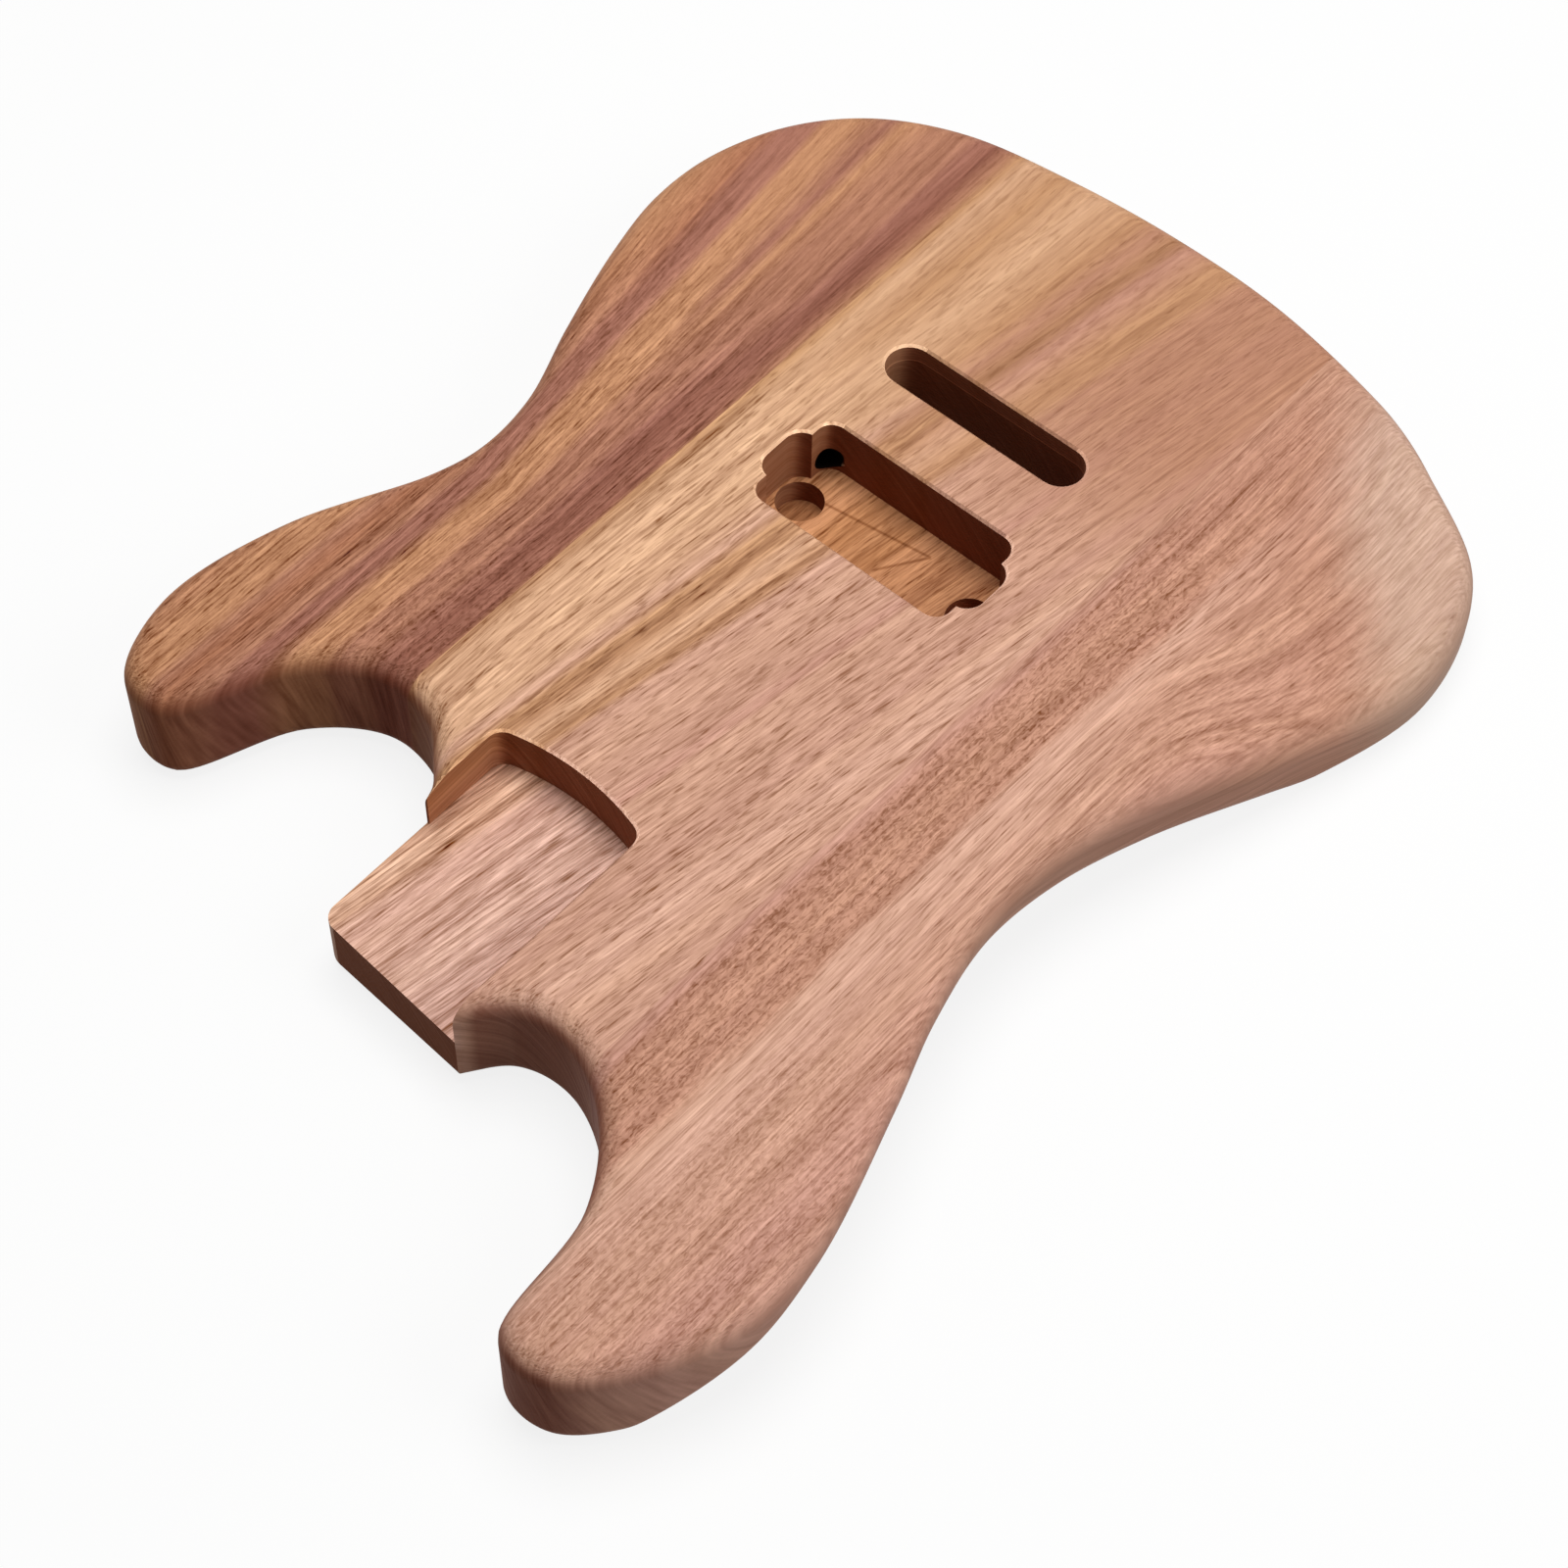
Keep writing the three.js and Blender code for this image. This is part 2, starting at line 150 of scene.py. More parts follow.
BASS_CUTAWAY_SHARES = ((0.133, -0.197), (0.340, -0.243), (0.588, -0.098), (0.813, 0.287), (0.898, 0.920))
BODY_SHARES = (
    (-0.373, 0.341), (-0.418, 0.336), (-0.471, 0.295), (-0.512, 0.226), (-0.509, 0.160), (-0.463, 0.050),
    (-0.428, -0.019), (-0.405, -0.093), (-0.410, -0.165), (-0.437, -0.240), (-0.485, -0.340), (-0.533, -0.477),
    (-0.490, -0.570), (-0.389, -0.608), (-0.265, -0.636), (-0.135, -0.654), (-0.001, -0.658), (0.135, -0.652),
    (0.271, -0.635), (0.365, -0.600), (0.427, -0.550), (0.462, -0.486), (0.466, -0.427), (0.447, -0.365),
    (0.410, -0.288), (0.372, -0.219), (0.363, -0.167), (0.375, -0.125), (0.442, -0.020), (0.464, 0.077),
    (0.433, 0.138), (0.398, 0.152),
)
TREBLE_CUTAWAY_SHARES = (
    (0.872, 0.963), (0.673, 0.413), (0.437, 0.186), (0.208, 0.219), (0.092, 0.351), (0.027, 0.444), (0, 0.532),
)
CONTROL_PLACE_SHARE = (0.312, -0.404)
FOREARM_PLACE_SHARE = (-0.5137, -0.4213)
BELLY_PLACE_SHARE = (-0.441, 0.012)


class BodySizes(bpy.types.PropertyGroup):
    """Sizes of the blank, its contours and what is routed and drilled in it"""

    body_width: length("Width", 0.2948, "Width that the outline's shares are taken of")
    body_length: length("Length", 0.4258, "Length that the outline's shares are taken of")
    body_thickness: length("Thickness", CAD_BOX[1][2], "From the back face to the front face")
    edge_radius: length("Edge radius", 0.008, "Roundover along both faces")
    neck_line: length("Neck line", 0.009684, "Place of the neck's centre line across the body")
    pocket_end: length("Pocket end", 0.067359, "Place of the neck pocket's inner end along the body")
    centre_board_width: length("Centre board", 0.126, "Width of the board in the middle")
    treble_glue_line: length("Treble joint", 0.057987, "From the neck line to the treble-side joint")
    pocket_width: length("Pocket width", 0.056, "Width of the neck pocket")
    pocket_depth: length("Pocket depth", 0.017, "Depth of the neck pocket")
    pocket_end_radius: length("Pocket arc", 0.09, "Radius of the pocket's inner end")
    pocket_corner_radius: length("Pocket corner", 0.0055, "Radius of the pocket's inner corners")
    pocket_wall: length("Pocket wall", 0.034, "Where the thin treble wall of the pocket ends")
    heel_length: length("Heel length", 0.0815, "From the pocket's inner end to the heel's front")
    heel_slant: turn("Heel slant", 4.4, "Slant of the heel's front")
    heel_corner_radius: length("Heel corner", 0.0055, "Radius of the heel's treble corner")
    heel_proud: length("Heel side", 0.0008, "How far the heel stands outside the pocket's wall")
    pickup_distance: length("Pickup distance", 0.1279, "From the pocket's inner end to the pickup cavity")
    pickup_offset: length("Pickup offset", 0.005, "How far the pickup cavity lies to the bass side")
    pickup_length: length("Pickup length", 0.0378, "Pickup cavity along the body")
    pickup_width: length("Pickup width", 0.0746, "Pickup cavity across the body")
    pickup_depth: length("Pickup depth", 0.022, "Depth of the pickup cavity")
    pickup_corner_radius: length("Pickup corner", 0.0055, "Radius of the pickup cavity's corners")
    ear_width: length("Ear width", 0.0849, "Width over both ears")
    ear_length: length("Ear length", 0.0215, "Length of the ears")
    ear_corner_radius: length("Ear corner", 0.0065, "Radius of the ears' corners")
    leg_spacing: length("Leg spacing", 0.068, "Between the two leg holes")
    leg_radius: length("Leg radius", 0.0078, "Radius of the leg holes")
    leg_floor: length("Leg floor", 0.009, "Wood left under the leg holes")
    leg_distance: length("Leg distance", 0.1294, "From the pocket's inner end to the leg holes")
    slot_distance: length("Slot distance", 0.1793, "From the pocket's inner end to the tremolo slot")
    slot_offset: length("Slot offset", 0.0022, "How far the slot lies to the bass side")
    slot_width: length("Slot width", 0.0754, "Tremolo slot across the body")
    slot_length: length("Slot length", 0.0158, "Tremolo slot along the body")
    spring_floor: length("Spring floor", 0.004, "Wood between the pickup and spring cavities")
    spring_width: length("Spring width", 0.044, "Width of the spring cavity")
    spring_reach: length("Spring reach", 0.096, "Length of the spring cavity from the slot")
    block_width: length("Block width", 0.086, "Block recess across the body")
    block_length: length("Block length", 0.034, "Block recess along the body")
    rear_corner_radius: length("Rear corner", 0.006, "Corners of the rear cavities")
    control_width: length("Control width", 0.044, "Width of the control cavity")
    control_length: length("Control length", 0.092, "Length of the control cavity")
    control_corner_radius: length("Control corner", 0.014, "Corners of the control cavity")
    control_floor: length("Control floor", 0.007, "Wood left in front of the control cavity")
    control_turn: turn("Control turn", 8, "Turn of the control cavity")
    cover_ledge: length("Cover ledge", 0.004, "Width of the ledge for the cover")
    cover_depth: length("Cover depth", 0.0025, "Depth of the ledge for the cover")
    lead_radius: length("Lead hole", 0.0044, "Radius of the hole from the pickup to the controls")
    lead_height: length("Lead height", 0.0235, "Height of that hole at the pickup cavity")
    lead_fall: length("Lead fall", 0.008, "How far that hole falls on its way")
    ground_radius: length("Ground hole", 0.002, "Radius of the hole from the springs to the controls")
    ground_height: length("Ground height", 0.007, "Height of that hole")
    forearm_depth: length("Forearm depth", 0.0167, "Depth of the front contour at the edge")
    forearm_reach: length("Forearm reach", 0.0626, "How far the front contour reaches inwards")
    forearm_span: length("Forearm span", 0.1277, "Half of the front contour's span")
    forearm_turn: turn("Forearm turn", 194.9, "Direction in which the front contour falls")
    belly_depth: length("Belly depth", 0.027, "Depth of the back contour at the edge")
    belly_reach: length("Belly reach", 0.075, "How far the back contour reaches inwards")
    belly_span: length("Belly span", 0.135, "Half of the back contour's span")
    belly_turn: turn("Belly turn", 188, "Direction in which the back contour falls")
    forearm_blend: length("Forearm blend", 0.0045, "Depth over which the front contour's ridge is sanded round")
    belly_blend: length("Belly blend", 0.0015, "Depth over which the back contour's ridge is sanded round")
    arris_ease: length("Eased arris", 0.0008, "Width of the sanded edge round each cavity")
    overrun: length("Overrun", 0.005, "How far a cut runs on outside the wood")
    mesh_pitch: length("Mesh pitch", 0.004, "Spacing of the points over the two faces")


class WoodColours(bpy.types.PropertyGroup):
    """Colours of the three boards"""

    salmon: tint("Salmon", "ce9a85", "Pinkish wood of the bass side")
    pale_tan: tint("Pale tan", "d8a890", "Lighter strip beside the ribbon")
    ribbon: tint("Ribbon", "c69178", "Darker ribbon with curly pores")
    rose: tint("Rose", "d1a087", "Smooth wood of the centre board")
    # Partly the wood's tone and partly a painted sheen on the front contour
    cream: tint("Cream", "cea994", "Pale wood under the front contour")
    russet: tint("Russet", "bc876b", "Browner wood towards the tail")
    gold: tint("Gold", "d7a784", "Golden wood of the centre board")
    honey: tint("Honey", "c39069", "Golden brown grain lines")
    # Also tints the painted sheen on the heel's front face
    washed: tint("Washed pink", "d6aa98", "Paler wood on the neck pocket's floor")
    plum: tint("Plum", "925b49", "Darkest band beside the treble joint")
    mauve: tint("Mauve", "a66e5b", "Purplish streaks of the treble side")
    umber: tint("Umber", "b17a5f", "Brown wood of the treble side")
    amber: tint("Amber", "c68e68", "Golden streaks of the treble side")
    cedar: tint("Cedar", "b07556", "Red-brown wood at the treble edge")
    # Also the dark of the painted shade on the cutaways and the routed walls
    end_grain_and_shade_tone: tint("Cut end", "722b14", "Wood cut across the grain")
    router_floor: tint("Routed floor", "c5875a", "Floor of the pickup cavity")


class StudioSettings(bpy.types.PropertyGroup):
    """The camera, the lamps and the floor"""

    camera_place: FloatVectorProperty(
        name="Camera place", description="Where the camera stands", default=(-0.412238, 0.475735, 0.894114),
        subtype="XYZ", unit="LENGTH", precision=5,
    )
    camera_right: FloatVectorProperty(
        name="Camera right", description="The direction of the picture's right side",
        default=(-0.752179, -0.658854, 0.011749), precision=5,
    )
    camera_ahead: FloatVectorProperty(
        name="Camera ahead", description="The direction in which the camera looks",
        default=(0.363346, -0.429557, -0.826717), precision=5,
    )
    lens: FloatProperty(name="Lens", description="Focal length in millimetres", default=83.26, min=1)
    key_power: FloatProperty(
        name="Key light", description="Power of the large lamp overhead", default=17.5, unit="POWER"
    )
    side_power: FloatProperty(
        name="Side light", description="Power of the lamp at the bass side", default=9, unit="POWER"
    )
    sky: FloatProperty(name="Sky", description="Strength of the light from all round", default=0.16, min=0)
    floor_tone: tint("Floor", "fafaf9", "Colour of the floor")


# Outline and contours

def settings():
    """The body's sizes as set in the scene."""
    return bpy.context.scene.guitar_body_sizes


def colours():
    """The wood's colours as set in the scene."""
    return bpy.context.scene.guitar_body_colours


def centripetal(knots, steps):
    """Points on an even curve through the knots, both ends among them."""
    ends = [2 * knots[0] - knots[1], *knots, 2 * knots[-1] - knots[-2]]
    points = []
    for a, b, c, d in zip(ends, ends[1:], ends[2:], ends[3:]):
        before, here, after = (np.linalg.norm(q - p) ** 0.5 for p, q in ((a, b), (b, c), (c, d)))
        leave = ((b - a) / before - (c - a) / (before + here) + (c - b) / here) * here
        reach = ((c - b) / here - (d - b) / (here + after) + (d - c) / after) * here
        for t in np.arange(steps) / steps:
            bend = 3 * (c - b) - 2 * leave - reach
            points.append(b + t * (leave + t * (bend + t * (2 * (b - c) + leave + reach))))
    return np.array([*points, knots[-1]])


def heel_corner(s, steps=10):
    """The heel's rounded treble corner, from its side to its slanted front."""
    x = s.pocket_width / 2 + s.heel_proud - s.heel_corner_radius
    fall = s.heel_corner_radius + math.sin(s.heel_slant) * (x + s.pocket_width / 2)
    y = s.heel_length - fall / math.cos(s.heel_slant)
    angles = np.linspace(0, math.pi / 2 - s.heel_slant, steps + 1)
    return np.stack([x + s.heel_corner_radius * np.cos(angles), y + s.heel_corner_radius * np.sin(angles)], 1)


def scaled(s, shares):
    """Places in metres from shares of the body's width and length."""
    return np.array(shares) * (s.body_width, s.body_length)


def outline(s, steps=14):
    """The outline, anticlockwise from the heel's sharp bass corner, and the largest roundover at each point."""
    corner = np.array((-s.pocket_width / 2, s.heel_length))
    heel_x = s.pocket_width / 2 + s.heel_proud
    body = scaled(s, BODY_SHARES)
    bass = corner + np.array(BASS_CUTAWAY_SHARES) * (body[0] - corner)
    treble = np.array(TREBLE_CUTAWAY_SHARES) * (body[-1][0] - heel_x, body[-1][1]) + (heel_x, 0)
    curve = centripetal([corner, *bass, *body, *treble], steps)
    far = np.linalg.norm(curve - corner, axis=1) > s.edge_radius
    far[0] = True
    wall, rounded = curve[far], heel_corner(s)
    corner_limit = min(s.edge_radius, EDGE_OF_HEEL * s.heel_corner_radius)
    limits = [*np.full(len(wall), s.edge_radius), *np.full(len(rounded), corner_limit)]
    return np.array([*wall, *rounded]), np.array(limits)


def inward_steps(points):
    """At each point, the step inwards that moves both of its edges in by one unit."""
    along = np.roll(points, -1, 0) - points
    along /= np.linalg.norm(along, axis=1)[:, None]
    normals = np.stack([-along[:, 1], along[:, 0]], 1)
    before = np.roll(normals, 1, 0)
    return (before + normals) / (1 + (before * normals).sum(1))[:, None]


def turn_limits(points, inwards):
    """The radius to which the outline turns near each point, evened out along it."""
    along = np.roll(points, -1, 0) - points
    gathered = ((inwards - np.roll(inwards, -1, 0)) * along).sum(1)
    sides = np.where(gathered > 0, (along**2).sum(1) / np.maximum(gathered, 1e-12), 1.0)
    least = np.min([np.roll(sides, k) for k in NEIGHBOURS], 0)
    return np.mean([np.roll(np.minimum(least, WIDEST_TURN), k) for k in NEIGHBOURS], 0)


def contour_depth(s, kind, points):
    """How deep a contour lies under its face at each point, with its ridge sanded round."""
    place = FOREARM_PLACE_SHARE if kind == "forearm" else BELLY_PLACE_SHARE
    parts = ("depth", "reach", "span", "turn", "blend")
    depth, reach, span, aim, blend = (getattr(s, f"{kind}_{part}") for part in parts)
    offset = points - scaled(s, place)
    outwards = offset @ (math.cos(aim), math.sin(aim))
    sideways = offset @ (-math.sin(aim), math.cos(aim))
    radius = span**2 / (2 * depth) + depth / 2
    tilt = math.atan(depth / reach)
    rise = radius - np.sqrt(np.maximum(radius**2 - sideways**2, 0))
    sunk = depth + outwards * math.tan(tilt) - rise / math.cos(tilt)
    return np.where(sunk > blend, sunk, np.maximum(sunk + blend, 0) ** 2 / (4 * blend))


def face_height(s, face, points):
    """The height of the front or the back face at each point."""
    if face == "back":
        return contour_depth(s, "belly", points)
    return s.body_thickness - contour_depth(s, "forearm", points)


# Meshes

def add_object(name, data):
    """A new object in the scene."""
    made = bpy.data.objects.new(name, data)
    bpy.context.scene.collection.objects.link(made)
    return made


def new_object(name, verts, faces):
    """A new mesh object in the scene."""
    mesh = bpy.data.meshes.new(name)
    mesh.from_pydata([tuple(v) for v in verts], [], [tuple(f) for f in faces])
    mesh.validate()
    return add_object(name, mesh)


def side_faces(rings, count):
    """The faces between rings of points, each ring joined to the next."""
    faces = []
    for start in range(0, (rings - 1) * count, count):
        for i in range(count):
            here, there = start + i, start + (i + 1) % count
            faces.append((here, there, there + count, here + count))
    return faces


def inside_ring(ring, points):
    """Which points lie inside a closed ring."""
    inside = np.zeros(len(points), bool)
    for p, q in zip(ring, np.roll(ring, -1, 0)):
        if p[1] != q[1]:
            spans = (p[1] > points[:, 1]) != (q[1] > points[:, 1])
            inside ^= spans & (points[:, 0] < (q[0] - p[0]) * (points[:, 1] - p[1]) / (q[1] - p[1]) + p[0])
    return inside


def face_mesh(s, ring):
    """Points at an even pitch inside a ring, and triangles over them and the ring."""
    low, high = ring.min(0), ring.max(0)
    xs, ys = (np.arange(low[k] + s.mesh_pitch / 2, high[k], s.mesh_pitch) for k in (0, 1))
    grid = np.array([(x, y) for y in ys for x in xs])
    nearest = np.min([((grid - p) ** 2).sum(1) for p in ring], 0)
    grid = grid[inside_ring(ring, grid) & (nearest > (GRID_GAP * s.mesh_pitch) ** 2)]
    count = len(ring)
    points = np.concatenate([ring, grid])
    border = [(i, (i + 1) % count) for i in range(count)]
    found = delaunay_2d_cdt([Vector(p) for p in points], border, [], 0, 1e-7, True)
    triangles = np.array([[found[3][i][0] for i in triangle] for triangle in found[2]])
    kept = inside_ring(ring, points[triangles].mean(1))
    return grid, triangles[kept].tolist()


def blank(s, steps=9):
    """The whole blank before routing: both faces, their contours and the rounded edge between them."""
    places, limits = outline(s)
    inwards = inward_steps(places)
    left = face_height(s, "front", places) - face_height(s, "back", places)
    radii = np.minimum(np.minimum(limits, EDGE_OF_HEIGHT * left), EDGE_OF_TURN * turn_limits(places, inwards))
    rings = []
    for face, sign, order in (("back", 1, range(steps, -1, -1)), ("front", -1, range(steps + 1))):
        for step in order:
            angle = step / steps * math.pi / 2
            inset = places + inwards * (radii * (1 - math.cos(angle)))[:, None]
            drop = sign * radii * (1 - math.sin(angle))
            rings.append(np.column_stack([inset, face_height(s, face, inset) + drop]))
    count = len(places)
    verts = np.concatenate(rings)
    faces = side_faces(len(rings), count)
    for first, face in ((0, "back"), ((len(rings) - 1) * count, "front")):
        grid, triangles = face_mesh(s, verts[first : first + count, :2])
        start = len(verts)
        verts = np.concatenate([verts, np.column_stack([grid, face_height(s, face, grid)])])
        for triangle in triangles:
            corners = [first + i if i < count else start + i - count for i in triangle]
            faces.append(corners if face == "front" else corners[::-1])
    return verts, faces


def arc(x, y, radius, start, end, steps=8):
    """Points along part of a circle, both ends among them."""
    angles = np.linspace(start, end, steps + 1)
    return np.stack([x + radius * np.cos(angles), y + radius * np.sin(angles)], 1)


def rounded_rectangle(x, y, width, along, radius):
    """The corners of a rectangle about a point, each an arc, anticlockwise."""
    dx, dy = width / 2 - radius, along / 2 - radius
    quarter = math.pi / 2
    corners = ((dx, -dy, -1), (dx, dy, 0), (-dx, dy, 1), (-dx, -dy, 2))
    points = np.concatenate([arc(x + a, y + b, radius, k * quarter, (k + 1) * quarter) for a, b, k in corners])
    keep = np.linalg.norm(points - np.roll(points, 1, 0), axis=1) > SAME_POINT
    return points[keep]


def plug(name, shape, low, high, eased=None):
    """A closed upright solid over a shape, flared where it passes the eased face."""
    s = settings()
    wider = shape - inward_steps(shape) * s.arris_ease
    levels = [(shape, low), (shape, high)]
    if eased == "front":
        levels[1:] = (shape, s.body_thickness - s.arris_ease), (wider, s.body_thickness), (wider, high)
    elif eased == "back":
        levels[:1] = (wider, low), (wider, 0), (shape, s.arris_ease)
    count = len(shape)
    verts = np.concatenate([np.column_stack([ring, np.full(count, z)]) for ring, z in levels])
    caps = [range(count)[::-1], range(len(verts) - count, len(verts))]
    return new_object(name, verts, caps + side_faces(len(levels), count))


def drill(name, start, end, radius):
    """A round hole between two points."""
    along = end - start
    place = Matrix.Translation((start + end) / 2) @ along.to_track_quat("Z", "Y").to_matrix().to_4x4()
    made = bmesh.new()
    size = {"segments": DRILL_SIDES, "radius1": radius, "radius2": radius, "depth": along.length}
    bmesh.ops.create_cone(made, cap_ends=True, matrix=place, **size)
    mesh = bpy.data.meshes.new(name)
    made.to_mesh(mesh)
    made.free()
    return add_object(name, mesh)


def pocket_shape(s):
    """The neck pocket from above, open at the heel and past its thin treble wall."""
    half = s.pocket_width / 2
    x = half - s.pocket_corner_radius
    y = s.pocket_end_radius - math.sqrt((s.pocket_end_radius - s.pocket_corner_radius) ** 2 - x**2)
    lean = math.atan2(x, s.pocket_end_radius - y)
    down = -math.pi / 2
    side = half + s.heel_proud + s.overrun
    return np.concatenate([
        arc(-x, y, s.pocket_corner_radius, -math.pi, down - lean),
        arc(0, s.pocket_end_radius, s.pocket_end_radius, down - lean, down + lean, 24)[1:-1],
        arc(x, y, s.pocket_corner_radius, down + lean, 0),
        [(half, s.pocket_wall), (side, s.pocket_wall), (side, s.heel_length + s.overrun)],
        [(-half, s.heel_length + s.overrun)],
    ])


def lead_ends(s):
    """Where the drilled hole from the pickup cavity's corner to the control cavity starts and ends."""
    inside = s.pickup_corner_radius / 2
    x = s.pickup_width / 2 - s.pickup_offset - inside
    y = inside - s.pickup_distance - s.pickup_length / 2
    corner = Vector((x, y, s.lead_height))
    end = Vector((*scaled(s, CONTROL_PLACE_SHARE), s.lead_height - s.lead_fall))
    return corner - (end - corner).normalized() * s.lead_radius / 2, end


# Node trees

class Graph:
    """Adds nodes to a tree and joins them."""

    def __init__(self, tree):
        self.tree = tree

    def add(self, kind, inputs=None, **values):
        """A new node, with its settings and what goes into its sockets."""
        node = self.tree.nodes.new(kind)
        for label, value in values.items():
            setattr(node, label, value)
        for label, value in (inputs or {}).items():
            self.feed(node.inputs[label], value)
        return node

    def feed(self, socket, value):
        """Joins another node's socket to this one, or sets a plain value on it."""
        if isinstance(value, bpy.types.NodeSocket):
            self.tree.links.new(value, socket)
        else:
            socket.default_value = value

    def math(self, operation, *values, clamp=False):
        inputs = dict(enumerate(values))
        return self.add("ShaderNodeMath", inputs, operation=operation, use_clamp=clamp).outputs[0]

    def total(self, *terms):
        """The sum of values, each given alone or with its share."""
        found = None
        for term in terms:
            value, share = term if isinstance(term, tuple) else (term, 1.0)
            found = self.math("MULTIPLY_ADD", value, share, 0.0 if found is None else found)
        return found

    def product(self, *values):
        found = values[0]
        for value in values[1:]:
            found = self.math("MULTIPLY", found, value)
        return found

    def less(self, value, taken):
        return self.math("SUBTRACT", value, taken)

    def most(self, a, b):
        return self.math("MAXIMUM", a, b)

    def size(self, value):
        """The value without its sign."""
        return self.math("ABSOLUTE", value)

    def vector(self, operation, *values):
        return self.add("ShaderNodeVectorMath", dict(enumerate(values)), operation=operation).outputs[0]

    def split(self, value):
        return self.add("ShaderNodeSeparateXYZ", {"Vector": value}).outputs

    def join(self, x, y, z):
        return self.add("ShaderNodeCombineXYZ", {"X": x, "Y": y, "Z": z}).outputs[0]

    def step(self, value, low, high, start=0.0, end=1.0):
        """A smooth change from start to end while the value goes from low to high."""
        inputs = {"Value": value, "From Min": low, "From Max": high, "To Min": start, "To Max": end}
        return self.add("ShaderNodeMapRange", inputs, interpolation_type="SMOOTHSTEP").outputs["Result"]

    def line(self, value, where, width):
        """One along a thin line, falling to none at its width on both sides."""
        return self.step(self.size(self.less(value, where)), 0.0, width, 1.0, 0.0)

    def mix(self, share, a, b):
        """A mix of two colours, each a socket or its three parts."""
        a, b = (value if isinstance(value, bpy.types.NodeSocket) else (*value, 1) for value in (a, b))
        return self.add("ShaderNodeMix", {0: share, 6: a, 7: b}, data_type="RGBA").outputs[2]

    def pick(self, share, a, b):
        return self.add("ShaderNodeMix", {"Factor": share, "A": a, "B": b}, data_type="FLOAT").outputs[0]

    def blend(self, share, first, second):
        """A mix of the shaders of two nodes."""
        inputs = {0: share, 1: first.outputs[0], 2: second.outputs[0]}
        return self.add("ShaderNodeMixShader", inputs).outputs[0]

    def tone(self, colour, change):
        """The colour made paler, or darker and browner where the change is negative."""
        if not isinstance(change, bpy.types.NodeSocket):
            change = (change, change, change)
        factor = self.vector("MULTIPLY_ADD", change, (1.0, 1.22, 1.4), (1.0, 1.0, 1.0))
        return self.vector("MULTIPLY", colour, factor)

    def noise(self, place, size, detail=2.0, roughness=0.5):
        """Noise mostly from -1 to 1 whose features have the given size along each axis."""
        inputs = {"Vector": self.vector("DIVIDE", place, size), "Detail": detail, "Roughness": roughness}
        found = self.add("ShaderNodeTexNoise", {"Scale": 1, **inputs}).outputs["Fac"]
        return self.math("MULTIPLY_ADD", found, 4, -2)


def emptied(holder):
    """The node tree of a new material or world, without the nodes that it starts with."""
    holder.use_nodes = True
    holder.node_tree.nodes.clear()
    return holder.node_tree


def new_group(name, kind, inputs, outputs):
    """The graph of a new node group with its named sockets."""
    tree = bpy.data.node_groups.new(name, kind)
    for way, sockets in (("INPUT", inputs), ("OUTPUT", outputs)):
        for label, socket in sockets.items():
            tree.interface.new_socket(label, in_out=way, socket_type=f"NodeSocket{socket}")
    return Graph(tree)


# Boards

def cutters(s):
    """Every routed and drilled shape, each as a closed solid."""
    top, under = s.body_thickness + s.overrun, -s.overrun
    pickup, slot = (-s.pickup_offset, -s.pickup_distance), (-s.slot_offset, -s.slot_distance)
    pickup_floor = s.body_thickness - s.pickup_depth
    from_front, from_back = (pickup_floor, top, "front"), (under, pickup_floor - s.spring_floor, "back")
    springs = (slot[0], slot[1] + s.spring_reach / 2)
    control = scaled(s, CONTROL_PLACE_SHARE)
    cos, sin = math.cos(s.control_turn), math.sin(s.control_turn)

    def recess(grow):
        size = (s.control_width + 2 * grow, s.control_length + 2 * grow, s.control_corner_radius + grow)
        return rounded_rectangle(0, 0, *size) @ ((cos, sin), (-sin, cos)) + control

    made = [plug("cut_pocket", pocket_shape(s), s.body_thickness - s.pocket_depth, top, "front")]
    slot_end = s.slot_length / 2 - SLOT_END_SHORT
    for name, place, size, levels in (
        ("cut_pickup", pickup, (s.pickup_width, s.pickup_length, s.pickup_corner_radius), from_front),
        ("cut_ears", pickup, (s.ear_width, s.ear_length, s.ear_corner_radius), from_front),
        ("cut_slot", slot, (s.slot_width, s.slot_length, slot_end), (under, top, "front")),
        ("cut_springs", springs, (s.spring_width, s.spring_reach, s.rear_corner_radius), from_back),
        ("cut_block", slot, (s.block_width, s.block_length, s.rear_corner_radius), from_back),
    ):
        made.append(plug(name, rounded_rectangle(*place, *size), *levels))
    made.append(plug("cut_controls", recess(0), under, s.body_thickness - s.control_floor))
    made.append(plug("cut_ledge", recess(s.cover_ledge), under, s.cover_depth, "back"))
    for side in (-1, 1):
        x = pickup[0] + side * s.leg_spacing / 2
        leg = arc(x, -s.leg_distance, s.leg_radius, 0, 2 * math.pi, LEG_SIDES)[:-1]
        made.append(plug("cut_leg", leg, s.leg_floor, s.body_thickness - s.pickup_depth / 2))
    made.append(drill("cut_lead", *lead_ends(s), s.lead_radius))
    inset = s.rear_corner_radius
    start = Vector((slot[0] + s.spring_width / 2 - inset, slot[1] + s.spring_reach - 2 * inset, s.ground_height))
    end = Vector((control[0], control[1] + s.control_length / 4, s.ground_height))
    made.append(drill("cut_ground", start, end, s.ground_radius))
    return made


